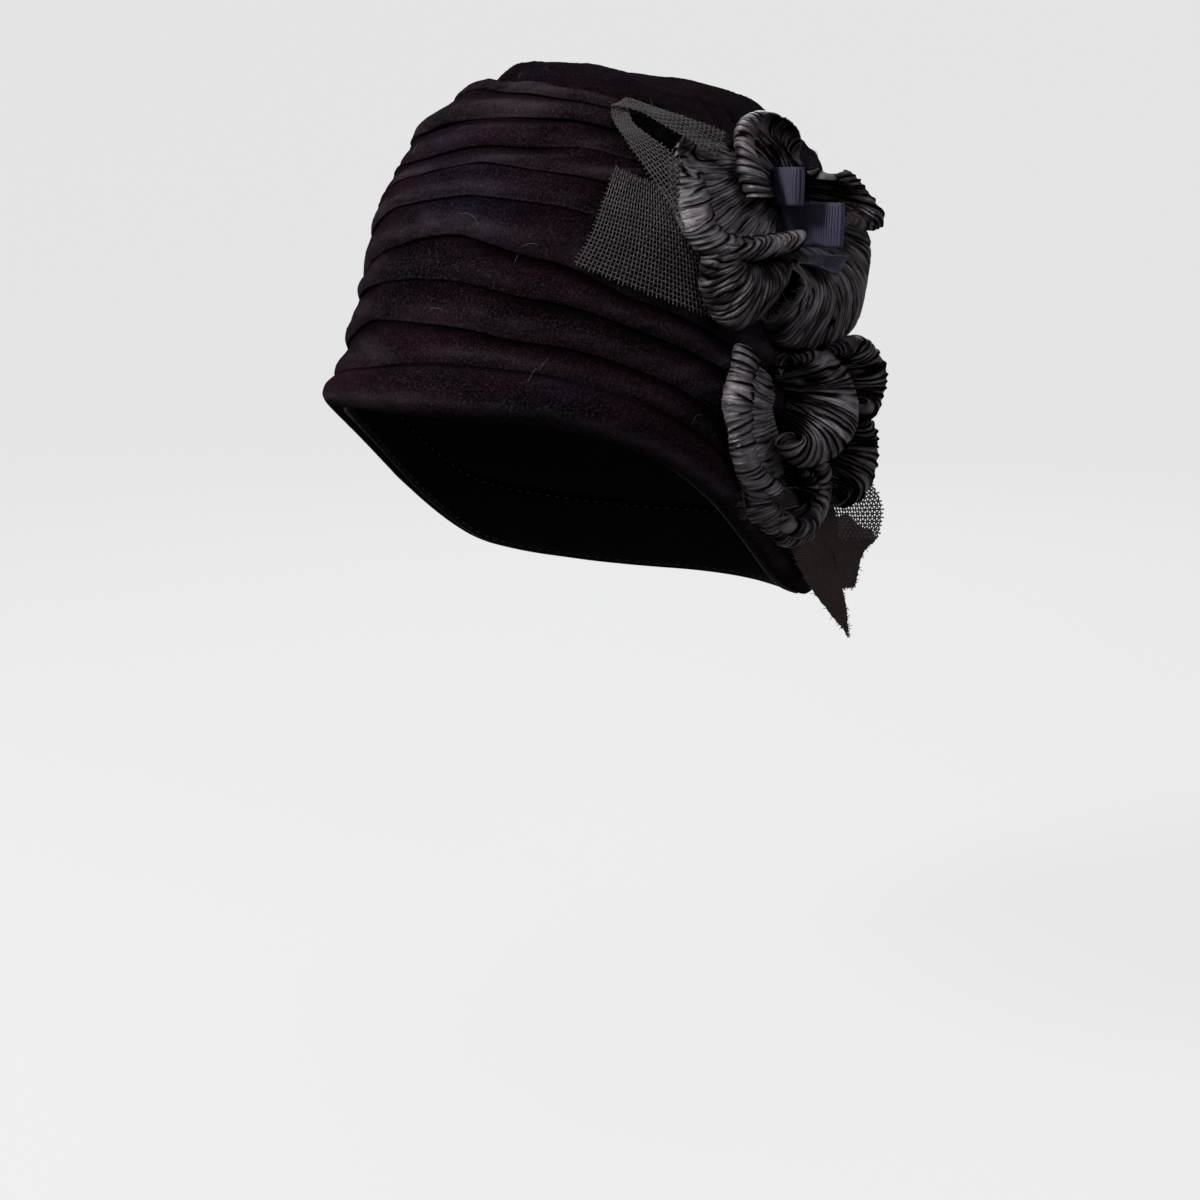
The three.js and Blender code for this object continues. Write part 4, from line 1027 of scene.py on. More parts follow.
@dataclass
class VelvetCrown:
    """The crown's tip, draped side, rolled edge and inner band, with their stitches and lint."""

    form: CrownForm
    velvet: Material
    lining: Material
    band: Material
    loom: ThreadLoom
    yarn: Material
    lint: Material
    lint_count: int = 36
    lint_points: int = 12
    turns: int = 480
    cloth_per_degree: float = 1.55
    clearance: float = 0.3
    band_wall: float = 1.5
    band_height: float = 24.0
    band_drop: float = 2.0
    stitch_pitch: float = 4.2
    stitch_inset: float = 1.6
    gather_turn: float = math.radians(24)
    gather_depth: float = 1.15
    fold_rows: tuple = (
        0, 0.008, 0.02, 0.04, 0.065, 0.095, 0.13, 0.18, 0.25, 0.34, 0.45, 0.57, 0.69, 0.80, 0.90)
    roll_section: tuple = (
        (0.00, 0.06), (0.16, 0.50), (0.38, 0.86), (0.64, 1.00), (0.86, 0.80), (1.00, 0.34))

    def __post_init__(self) -> None:
        """Spaces the columns round the crown."""
        self.tip = len(self.form.folds) - 1
        self.azimuth = -180 + 360 * np.arange(self.turns) / self.turns
        self.girth = self.cloth_per_degree * np.linspace(-180, 180, self.turns + 1)

    def seam(self, fold: int, side: float) -> Array:
        """Share of the way up at a seam, moved by half the clearance."""
        gap = side * self.clearance / 2 / (self.form.top - self.form.rim_length(self.azimuth))
        return self.form.lip(fold, self.azimuth) + gap

    def ring(self, share: Array, off: Array | float, drop: Array | float = 0.0) -> tuple:
        """One ring of points, with its lengths along the outline."""
        length = self.form.length_at_share(self.azimuth, share) - drop
        off = np.broadcast_to(off, self.azimuth.shape)
        return self.form.point(self.azimuth, length, off), length

    def fold_ring(self, fold: int, up: float, low: Array) -> tuple:
        """One ring of a fold, with its tone, which paints light and shade on the velvet.

        Args:
            fold: the fold's number.
            up: share of the fold's height above its lip.
            low: share of the way up at the fold's lip.

        Returns:
            Points, lengths along the outline and tones.
        """
        form, azimuth = self.form, self.azimuth
        last = fold == self.tip
        high = np.ones_like(azimuth) if last else form.lip(fold + 1, azimuth)
        share = low + (high - low) * up
        length = form.length_at_share(azimuth, share)
        rate = 4.0 if last else 1.0
        held = 1 - math.exp(-up * 26 * rate)
        end = 1.0 if last else min(1.0, (1 - up) * 9)
        loose = form.wrinkles(azimuth, length) * held * end
        if last:
            loose = loose * (1 - up) + self.gathers(length) * held
        below, above = form.merge(fold, azimuth), form.merge(fold + 1, azimuth)
        fill = below * bell(up, 0, 0.10) + above * bell(1 - up, 0, 0.24)
        level = np.full_like(azimuth, up)
        off = form.fold_off(fold, azimuth, level) + loose + form.merge_fill * fill
        fold_swell = np.clip(form.around(form.folds[fold].swell, azimuth), 0.1, 1.1)
        near = up * rate
        # The tone paints light and shade: a painted highlight just above the lip, on the fold's lower
        # face and along the drawn ridges; painted shade at the lip's root and at the top of the fold,
        # under the next fold's lip.
        streak = 0.75 + 0.5 * ring_noise(150 + fold, 23, azimuth)
        crest_highlight = 0.35 * bell(near, 0.07, 0.04) + 0.75 * bell(near, 0.30, 0.16)
        foot = 0.0 if last else 1.15 * bell(1 - up, 0, 0.30)
        valley = bell(near, 0, 0.02) * (1 - 0.8 * below) + foot * (1 - 0.75 * above)
        drawn = 0.40 * form.ridges(azimuth, length) * held * end
        tone = fold_swell * crest_highlight * streak - valley + drawn
        # The tip's tone is halved and lowered: painted shade on the top.
        if last:
            tone = 0.5 * tone - 0.50
        hung = length - form.drop(fold, azimuth, np.full_like(azimuth, near))
        return form.point(azimuth, hung, off), length, tone

    def gathers(self, length: Array) -> Array:
        """Soft drawn folds that run across the tip."""
        base = self.form.base(self.azimuth, length)
        sine, cosine = math.sin(self.gather_turn), math.cos(self.gather_turn)
        across = base[:, 0] * sine + base[:, 1] * cosine
        along = base[:, 0] * cosine - base[:, 1] * sine
        ridge = 1 - np.abs(Lattice(21, 64, 64).at(across / 9.0 + 20, along / 48.0 + 20))
        return self.gather_depth * (ridge ** 2 - 0.5)

    def stack(self, draft: MeshDraft, rings: list[tuple], kind: int) -> tuple[Array, Array]:
        """Adds rings of points to a draft.

        Args:
            draft: the mesh that is being drafted.
            rings: points, lengths and tones of each ring, or points and lengths.
            kind: which finish the faces between these rings take.

        Returns:
            The points' numbers and places on the cloth, closed round the crown.
        """
        grid = np.stack([row[0] for row in rings])
        tone = np.stack([row[2] if len(row) > 2 else np.zeros(self.turns) for row in rings])
        ids = draft.add_points(grid, tone)
        ids = np.concatenate([ids, ids[:, :1]], axis=1)
        length = np.stack([row[1] for row in rings])
        length = np.concatenate([length, length[:, :1]], axis=1)
        uv = np.stack([np.broadcast_to(self.girth, length.shape), length], axis=-1)
        draft.add_quads(ids, uv, kind)
        return ids, uv

    def closed(self, name: str, outer: list[tuple], inner: list[tuple], kinds: tuple[int, int],
               finishes: list[Material]) -> Piece:
        """A closed ring of cloth from its outside and its inside.

        Args:
            name: the piece's name.
            outer: rings of the outside, from below.
            inner: rings of the inside, from above.
            kinds: finishes of the outside and of the inside.
            finishes: the piece's materials.

        Returns:
            The piece.
        """
        draft = MeshDraft()
        ids_out, uv_out = self.stack(draft, outer, kinds[0])
        ids_in, uv_in = self.stack(draft, inner, kinds[1])
        for above, below, above_uv, below_uv in (
                (ids_out, ids_in, uv_out, uv_in), (ids_in, ids_out, uv_in, uv_out)):
            draft.add_quads(
                np.stack([above[-1], below[0]]), np.stack([above_uv[-1], below_uv[0]]), kinds[1])
        return draft.finish(name, finishes)

    def inside(self, low: Array, high: Array, rows: int) -> list[tuple]:
        """Rings of the wall's inside, from a lower share to a higher one."""
        lining = Lattice(90, 60, 16)
        rings = []
        for row in range(rows):
            share = low + (high - low) * row / (rows - 1)
            pucker = 0.25 * lining.at(self.azimuth / 6, np.full(self.turns, row * 0.3))
            points, length = self.ring(share, -self.form.wall + pucker * (0 < row < rows - 1))
            rings.append((points, length))
        return rings

    def build_drape(self) -> Piece:
        """Makes the draped side."""
        low, top = self.seam(0, 1), self.seam(self.tip, -1)
        outer = []
        for fold in range(self.tip):
            lip = low if fold == 0 else self.form.lip(fold, self.azimuth)
            outer += [self.fold_ring(fold, up, lip) for up in self.fold_rows]
        # Tone -1 on the last ring: painted shade along the seam under the tip.
        outer.append((*self.ring(top, 0.0), np.full(self.turns, -1.0)))
        inner = self.inside(top, low, 10)
        return self.closed("velvet_drape", outer, inner, (0, 1), [self.velvet, self.lining])

    def build_tip(self) -> Piece:
        """Makes the puffed top."""
        low = self.seam(self.tip, 1)
        ups = np.concatenate([np.array(self.fold_rows[:7]) / 4, np.linspace(0.045, 0.975, 46)])
        outer = [self.fold_ring(self.tip, float(up), low) for up in ups]
        inner = []
        for up in np.linspace(0, 0.95, 24):
            off = self.form.fold_off(self.tip, self.azimuth, np.full(self.turns, up))
            slack = 0.9 * min(1.0, up * 12)
            wall = np.minimum(off, 0) - self.form.wall - slack
            inner.append(self.ring(low + (1 - low) * up, wall))
        draft = MeshDraft()
        ids_out, uv_out = self.stack(draft, outer, 0)
        ids_in, uv_in = self.stack(draft, inner[::-1], 1)
        draft.add_quads(np.stack([ids_in[-1], ids_out[0]]), np.stack([uv_in[-1], uv_out[0]]), 1)
        for ids, uv, ring, kind in (
                (ids_out[-1], uv_out[-1], outer[-1], 0),
                (ids_in[0][::-1], uv_in[0][::-1], inner[-1], 1)):
            hub = draft.add_points(ring[0].mean(axis=0)[None])
            draft.add_fan(ids, int(hub[0]), uv, uv.mean(axis=0), kind)
        return draft.finish("velvet_tip", [self.velvet, self.lining])

    def build_roll(self) -> Piece:
        """Makes the rolled edge."""
        form = self.form
        seam = self.seam(0, -1)
        section = np.array(self.roll_section)
        outer = []
        for down in np.linspace(1, 0, 26):
            out = self.roll_out(float(np.interp(down, section[:, 0], section[:, 1])), down * 0.78)
            share = seam * (1 - down)
            length = form.length_at_share(self.azimuth, share)
            held = math.sin(math.pi * min(max(down, 0.02), 0.98))
            loose = 0.5 * form.wrinkles(self.azimuth, length) * held
            points, length = self.ring(share, form.roll_swell * out + loose)
            # Tone of the roll: a painted highlight low on the roll and painted shade at its top,
            # under the first fold.
            tone = 0.55 * bell(down, 0.82, 0.16) - bell(down, 0, 0.12)
            outer.append((points, length, np.full(self.turns, tone)))
        start = form.roll_swell * self.roll_out(self.roll_section[-1][1], 0.78)
        under = []
        for step in np.linspace(0, 1, 9)[:-1]:
            off = -form.wall + (start + form.wall) * step
            dip = 1.5 * math.sin(math.pi * min(step + 0.02, 1.0)) ** 0.8
            # Tone -0.15: painted shade on the roll's underside.
            under.append((*self.ring(np.zeros(self.turns), off, dip), np.full(self.turns, -0.15)))
        inner = self.inside(seam, np.zeros(self.turns), 4)[:-1]
        return self.closed("velvet_roll", under + outer, inner, (0, 1), [self.velvet, self.lining])

    @staticmethod
    def roll_out(section: float, turn: float) -> float:
        """How far the roll stands out, from its drawn section and a plain round one."""
        return 0.6 * section + 0.4 * float(np.sin(math.pi * min(1.0, 0.04 + turn)) ** 0.9)

    def band_shares(self, count: int) -> list[Array]:
        """Shares of the way up at the inner band's rows, from below."""
        span = self.form.top - self.form.rim_length(self.azimuth)
        low, high = -self.band_drop / span, self.band_height / span
        return [low + (high - low) * row / (count - 1) for row in range(count)]

    def build_band(self) -> list[Piece]:
        """Makes the inner band and the stitches that hold its upper edge."""
        near = self.form.wall + self.clearance
        far = near + self.band_wall
        ripple = Lattice(33, 40, 4).at(self.azimuth / 9, np.zeros(self.turns))
        shares = self.band_shares(9)
        outer = [self.ring(share, -near) for share in shares]
        inner = []
        for row, share in enumerate(shares):
            edge = min(row, len(shares) - 1 - row) / 2
            slack = 0.25 * ripple * min(edge, 1.0) + 0.35 * (1 - min(edge, 1.0))
            inner.append(self.ring(share, -far + slack))
        band = self.closed("band_ribbon", outer, inner[::-1], (0, 0), [self.band])
        paths = []
        for share, inset in ((shares[-1], self.stitch_inset), (shares[0], -self.stitch_inset)):
            length = self.form.length_at_share(self.azimuth, share) - inset
            points = self.form.point(self.azimuth, length, np.full(self.turns, -far - 0.05))
            paths.append(np.concatenate([points, points[:1]]))
        stitches = self.loom.make(
            "band_stitches", paths, self.loom.stitches, Pitch=self.stitch_pitch * MM,
            Stitch_Length=2.1 * MM, Stitch_Width=0.5 * MM, Finish=self.yarn, Seed=4)
        return [band, stitches]

    def build_lint(self) -> Piece:
        """Makes a few stray hairs that lie on the velvet."""
        form = self.form
        rng = np.random.default_rng(71)
        strands = []
        for azimuth in np.linspace(-170, 170, self.lint_count):
            share, heading = rng.uniform(0.06, 0.70), rng.uniform(0, 2 * math.pi)
            turn = heading + rng.normal(0, 0.12) * np.arange(self.lint_points)
            step = rng.uniform(0.5, 1.1)
            around = azimuth + np.cumsum(np.cos(turn)) * step / 1.6
            upward = share + np.cumsum(np.sin(turn)) * step / 190
            length = form.length_at_share(around, upward)
            off = form.outside(around, upward) + form.wrinkles(around, length) + 0.35
            strands.append(form.point(around, length, off))
        return self.loom.make(
            "velvet_lint", strands, self.loom.threads, Thread_Radius=0.045 * MM, Sides=4,
            Unevenness=0.2, Finish=self.lint, Seed=9)

    def build(self) -> None:
        """Makes and declares every piece of the crown."""
        drape, tip, roll = self.build_drape(), self.build_tip(), self.build_roll()
        band, stitches = self.build_band()
        lint = self.build_lint()
        for piece, node in (
                (lint, None), (drape, "side_drape"), (tip, "crown_tip"), (roll, "rim_roll"),
                (band, "inner_band"), (stitches, None)):
            declare(piece, node)
        for piece in (drape, tip, roll, band, stitches):
            report(piece)


# Roses.


class Edge(Enum):
    """Which way a petal's lip rolls."""

    TURNED = "towards the crown"
    ROLLED = "towards the rose's face"


class Raw(Enum):
    """Which edge of a petal is left raw."""

    NONE = "none"
    FIRST = "first side"
    LAST = "last side"
    LIP = "lip"


@dataclass(frozen=True)
class Petal:
    """One petal: root and lip in shares of its rose, and how its lip turns over."""

    node: str
    flat: tuple[float, float]
    root: tuple
    lip: tuple
    belly: float
    curl: tuple[float, float]
    edge: Edge = Edge.TURNED
    raw: Raw = Raw.NONE
    roll: float = 1.0
    # Shift of the petal's painted light and shade: above 0 lighter, as if facing the lamp and partly
    # worn; below 0 darker.
    painted_lustre: float = 0.0


@dataclass
class Rose:
    """A rose of pleated taffeta petals, sewn to the side of the crown."""

    form: CrownForm
    taffeta: Material
    yarn: Material
    azimuth: float
    height: float
    half_width: float
    half_height: float
    stand_off: float
    curl_radius: float
    petals: tuple[Petal, ...]
    seed: int
    pleat_pitch: float = 2.3
    pleat_depth: float = 0.75
    pleat_wander: float = 1.45
    pleat_bend: float = 0.42
    crinkle_depth: float = 0.12
    scallop_depth: float = 1.0
    edge_light: float = 0.55
    edge_width: float = 1.3
    wall: float = 0.4
    margin: float = 0.6
    body_rows: int = 40
    column_step: float = 0.28
    column_range: tuple[int, int] = (110, 300)
    fray_count: int = 260
    fray_radius: float = 0.075

    def place(self, shares: Array) -> Array:
        """Points of the rose from shares across, up and level out."""
        form = self.form
        across, up, out = np.moveaxis(np.asarray(shares, float), -1, 0)
        length = form.length_at(self.height + up * self.half_height / form.height)
        middle = form.base(np.array(self.azimuth), form.length_at(np.array(self.height)))
        radius = math.hypot(middle[0], middle[1])
        azimuth = self.azimuth + np.degrees(across * self.half_width / radius)
        level = form.normal(azimuth, length) * np.array([1, 1, 0])
        return form.base(azimuth, length) + unit(level) * (out * self.stand_off)[..., None]

    def outward(self, shares: Array) -> Array:
        """Level direction away from the crown at shares across and up."""
        near, far = np.array(shares), np.array(shares)
        near[..., 2], far[..., 2] = 0, 1
        return unit(self.place(far) - self.place(near))

    def rows(self, petal: Petal, place: Array) -> Array:
        """Smooth middle points of a petal, from root to lip and round its curl.

        Args:
            petal: the petal.
            place: places along the lip, from 0 to 1.

        Returns:
            Points, rows from the root by columns along the lip.
        """
        root_shares = spline(np.array(petal.root), place)
        lip_shares = spline(np.array(petal.lip), place)
        root, lip = self.place(root_shares), self.place(lip_shares)
        curl_radius = self.curl_radius * petal.roll
        reached = ease(place / 0.55) if petal.curl[1] > 2 * petal.curl[0] else place
        curl = petal.curl[0] + (petal.curl[1] - petal.curl[0]) * reached
        bulge = curl_radius * np.sin(np.minimum(2 * math.pi * curl, math.pi / 2))
        lip = lip - unit(lip - root) * bulge[:, None]
        outward = self.outward((root_shares + lip_shares) / 2)
        rolled = petal.edge is Edge.ROLLED
        if rolled:
            lip = lip - outward * (2 * curl_radius * np.minimum(2 * curl, 1))[:, None]
        along = np.linspace(0, 1, self.body_rows)[:, None, None]
        swell = petal.belly * self.stand_off * np.sin(math.pi * along**0.8)
        body = root + (lip - root) * along + outward * swell
        last = body[-1]
        forward = unit(last - body[-1 - self.body_rows // 5])
        inward = unit(outward - forward * np.sum(outward * forward, axis=-1, keepdims=True))
        more = 0.55 * ease((curl - 0.5) / 0.4) * rolled
        face = -1 if rolled else 1
        turn = 2 * math.pi * (curl + more)
        steps = 8 + int(26 * float(turn.max()) / (2 * math.pi))
        share = np.linspace(0, 1, steps + 1)[1:, None]
        angle = share * turn
        radius = curl_radius * (1 - 0.30 * angle / (2 * math.pi))
        centre = last - face * inward * curl_radius
        lip_roll = centre + radius[..., None] * (
            forward * np.sin(angle)[..., None] + face * inward * np.cos(angle)[..., None])
        return np.concatenate([body, lip_roll])

    def pleats(self, grid: Array, number: int) -> tuple[Array, Array, Array]:
        """Pleats over a smooth grid.

        Args:
            grid: smooth middle points.
            number: the petal's own number, which shifts its noise.

        Returns:
            Distances off the grid, tones from about 0 to 1 that paint light and shade, and places on
            the cloth.
        """
        rows, columns = grid.shape[:2]
        around = run_length(grid[min(self.body_rows, rows) - 1])
        down = run_length(grid[:, columns // 2])
        s, w = np.meshgrid(around, down)
        edge = np.clip(w / max(down[self.body_rows - 1], 1.0), 0, 1)
        shift = 7.3 * number
        noise = [Lattice(self.seed + k, 61, 64) for k in range(6)]
        wander = noise[0].at(s / 5.5 + shift, w / 21.0 + shift)
        bend = noise[1].at(s / 3.4 - shift, w / 8.0 + shift)
        phase = s / self.pleat_pitch + self.pleat_wander * wander + self.pleat_bend * bend
        pleat = np.floor(phase)
        across = phase - pleat
        puff = np.sin(math.pi * across) ** 0.7
        full = 0.72 + 0.40 * noise[2].at(pleat * 3.0, w / 8.0 + shift)
        seam = np.round(phase)
        deep = np.clip(0.55 + 0.75 * noise[3].at(seam * 3.0, w / 7.0 - shift), 0.05, 1.0)
        slit = deep * np.exp(-((phase - seam) / 0.12) ** 2)
        crinkle = noise[4].at(s / 0.7 + shift, w / 6.0) + 0.6 * noise[4].at(s / 1.4, w / 3.0 + shift)
        scallop = noise[5].at(s / 9.0 + shift, w / 26.0)
        flare = 0.55 + 0.45 * ease(edge)
        tilt = noise[2].at(pleat * 5.0 + 9.5, w / 11.0 - shift) * (across - 0.5)
        painted_lustre = noise[3].at(pleat * 7.0 + 3.5, w / 9.0 + shift)
        fold = 0.5 * full * (puff - 0.6) - slit + 0.9 * tilt
        height = self.pleat_depth * flare * fold + self.crinkle_depth * crinkle
        height = height + self.scallop_depth * scallop * ease(edge)
        # The tone paints light and shade: a painted highlight on each pleat's puff, each band lighter
        # on one side and darker on the other by its tilt, painted shade in the slits, and random
        # brightness per pleat.
        tone = 0.34 + 0.26 * puff * full + 0.22 * painted_lustre + 0.35 * tilt - 0.85 * slit + 0.18 * crinkle
        return height, tone, np.stack([s, w], axis=-1)

    def shape(self, petal: Petal, number: int) -> tuple[Array, Array, Array]:
        """Middle points, tones and cloth places of a petal, pleated and clear of the velvet."""
        probe = self.place(spline(np.array(petal.lip), np.linspace(0, 1, 60)))
        columns = int(np.clip(run_length(probe)[-1] / self.column_step, *self.column_range))
        grid = self.rows(petal, np.linspace(0, 1, columns))
        height, tone, uv = self.pleats(grid, number)
        # The petal's shift of painted light and shade.
        tone = tone + petal.painted_lustre
        if petal.raw in (Raw.FIRST, Raw.LAST):
            inset = uv[..., 0] if petal.raw is Raw.FIRST else uv[..., 0].max() - uv[..., 0]
            tone = tone + self.edge_light * np.exp(-((inset / self.edge_width) ** 2))
        points = grid + grid_normals(grid) * height[..., None]
        clear = self.form.push_clear(points, self.margin + self.wall)
        return clear, np.clip(tone, 0, 1), uv

    def fray(self, petal: Petal, grid: Array, loom: ThreadLoom) -> Piece:
        """Loose ends of yarn along a raw edge.

        Args:
            petal: the petal whose edge is raw.
            grid: the petal's middle points.
            loom: the loom that draws the threads.

        Returns:
            The threads, as one piece.
        """
        rng = np.random.default_rng(self.seed + len(petal.node) + int(petal.node[-1]))
        body, along_lip = slice(self.body_rows // 3, None), slice(int(0.8 * grid.shape[1]))
        ends, before = {
            Raw.FIRST: (grid[body, 0], grid[body, 3]),
            Raw.LAST: (grid[body, -1], grid[body, -4]),
            Raw.LIP: (grid[-1, along_lip], grid[-4, along_lip]),
        }[petal.raw]
        heading, along = unit(ends - before), unit(np.gradient(ends, axis=0))
        steps = np.linspace(-0.2, 1, 6)[:, None]
        strands = []
        for place in rng.uniform(0, len(ends) - 1.001, self.fray_count):
            k = int(place)
            root = ends[k] + (ends[k + 1] - ends[k]) * (place - k)
            way = heading[k] + along[k] * rng.normal(0, 0.9) + rng.normal(0, 0.35, 3)
            stray = rng.normal(0, 0.45, 3)
            length = rng.uniform(0.5, 1.9) * (1.9 if rng.random() < 0.08 else 1.0)
            strands.append(root + (way * steps + stray * steps * np.abs(steps)) * length)
        return loom.make(
            f"{petal.node}_fray", strands, loom.threads, Thread_Radius=self.fray_radius * MM,
            Sides=4, Unevenness=0.2, Finish=self.yarn, Seed=self.seed)

    def build(self, loom: ThreadLoom) -> None:
        """Makes and declares every petal."""
        for number, petal in enumerate(self.petals):
            points, tone, uv = self.shape(petal, number)
            draft = MeshDraft()
            draft.add_cloth(points, uv, self.wall, tone)
            name = petal.node.replace("_petal_", "_pleated_petal_")
            piece = declare(draft.finish(name, [self.taffeta]), petal.node)
            if petal.raw is not Raw.NONE:
                declare(self.fray(petal, points, loom))
            report(piece)


UPPER_PETALS = (
    Petal(
        "upper_rose_petal_1", (0.080, 0.042),
        ((-0.24, 0.62, 0.02), (-0.10, 0.38, 0.00), (0.20, 0.12, 0.02)),
        ((-0.90, 0.78, 0.26), (-1.06, 0.60, 0.34), (-1.06, 0.26, 0.46), (-0.97, -0.08, 0.60),
         (-0.66, -0.22, 0.80), (-0.14, -0.18, 0.92)),
        0.05, (0.10, 0.95), Edge.ROLLED, Raw.FIRST, 1.5, 0.20),
    Petal(
        "upper_rose_petal_2", (0.066, 0.034),
        ((0.18, 0.26, 0.04), (0.40, 0.34, 0.02), (0.72, 0.38, 0.02)),
        ((-0.26, 0.26, 0.62), (-0.35, 0.50, 0.60), (-0.25, 0.79, 0.53), (0.18, 0.91, 0.50),
         (0.64, 0.76, 0.50), (0.76, 0.46, 0.48)),
        0.14, (0.90, 0.25), Edge.ROLLED),
    Petal(
        "upper_rose_petal_3", (0.042, 0.030),
        ((0.62, 0.52, 0.02), (0.74, 0.32, 0.00), (0.78, 0.10, 0.02)),
        ((0.56, 0.50, 0.60), (0.78, 0.42, 0.80), (0.94, 0.14, 1.00), (0.60, 0.08, 0.95),
         (0.42, 0.14, 0.78)),
        0.20, (0.15, 0.20)),
    Petal(
        "upper_rose_petal_4", (0.060, 0.030),
        ((-0.52, -0.12, 0.04), (-0.30, -0.14, 0.02), (-0.04, -0.20, 0.02)),
        ((-0.90, -0.14, 0.46), (-0.92, -0.42, 0.48), (-0.78, -0.68, 0.50), (-0.52, -0.78, 0.54),
         (-0.24, -0.60, 0.60), (-0.12, -0.26, 0.64)),
        0.34, (0.45, 0.45), raw=Raw.FIRST, painted_lustre=-0.10),
    Petal(
        "upper_rose_petal_5", (0.078, 0.036),
        ((0.14, -0.24, 0.04), (0.50, -0.08, 0.02), (0.94, 0.10, 0.02)),
        ((-0.10, -0.76, 0.34), (0.10, -0.96, 0.36), (0.52, -1.00, 0.44), (1.02, -0.84, 0.56),
         (1.24, -0.46, 0.62), (1.18, 0.06, 0.62)),
        0.42, (0.35, 0.35), raw=Raw.FIRST, painted_lustre=0.04),
)
LOWER_PETALS = (
    Petal(
        "lower_rose_petal_1", (0.075, 0.036),
        ((-0.16, 0.70, 0.02), (-0.08, 0.26, 0.00), (0.20, -0.20, 0.02)),
        ((-0.48, 0.92, 0.40), (-0.82, 0.64, 0.46), (-0.84, 0.22, 0.50), (-0.66, -0.20, 0.52),
         (-0.24, -0.42, 0.54)),
        0.10, (0.95, 0.80), Edge.ROLLED, Raw.LAST, 1.15, 0.26),
    Petal(
        "lower_rose_petal_2", (0.070, 0.033),
        ((-0.14, 0.80, 0.04), (0.06, 0.52, 0.02), (0.06, 0.20, 0.04)),
        ((-0.20, 0.96, 0.56), (0.26, 0.90, 0.76), (0.34, 0.52, 0.90), (0.22, 0.08, 0.90),
         (-0.12, -0.10, 0.76), (-0.30, 0.04, 0.56)),
        0.22, (0.50, 0.85), painted_lustre=0.06),
    Petal(
        "lower_rose_petal_3", (0.044, 0.030),
        ((0.62, 0.84, 0.02), (0.72, 0.66, 0.02), (0.76, 0.46, 0.02)),
        ((0.50, 0.94, 0.60), (0.92, 1.00, 0.82), (1.02, 0.76, 0.92), (0.90, 0.52, 0.90),
         (0.62, 0.46, 0.82)),
        0.22, (0.55, 0.55)),
    Petal(
        "lower_rose_petal_4", (0.046, 0.030),
        ((0.72, 0.26, 0.02), (0.82, -0.06, 0.02), (0.84, -0.36, 0.02)),
        ((0.56, 0.44, 0.72), (0.90, 0.22, 0.88), (1.02, -0.20, 0.92), (0.92, -0.54, 0.86),
         (0.62, -0.60, 0.76)),
        0.30, (0.45, 0.45)),
    Petal(
        "lower_rose_petal_5", (0.052, 0.029),
        ((0.16, -0.30, 0.04), (0.34, -0.42, 0.02), (0.52, -0.52, 0.04)),
        ((0.00, -0.14, 0.54), (0.36, -0.18, 0.70), (0.46, -0.50, 0.76), (0.26, -0.78, 0.72),
         (-0.10, -0.66, 0.58)),
        0.24, (0.60, 0.90), Edge.ROLLED),
    Petal(
        "lower_rose_petal_6", (0.045, 0.020),
        ((-0.20, -0.42, 0.02), (0.10, -0.58, 0.00), (0.46, -0.70, 0.02)),
        ((-0.70, -0.30, 0.28), (-0.58, -0.62, 0.38), (-0.20, -0.90, 0.44), (0.24, -1.06, 0.50),
         (0.60, -1.00, 0.56)),
        0.20, (0.10, 0.30), raw=Raw.LIP),
)


# Net.


class Hang(Enum):
    """How a piece of net is held."""

    ON_VELVET = "on the velvet"
    FREE = "hanging free"


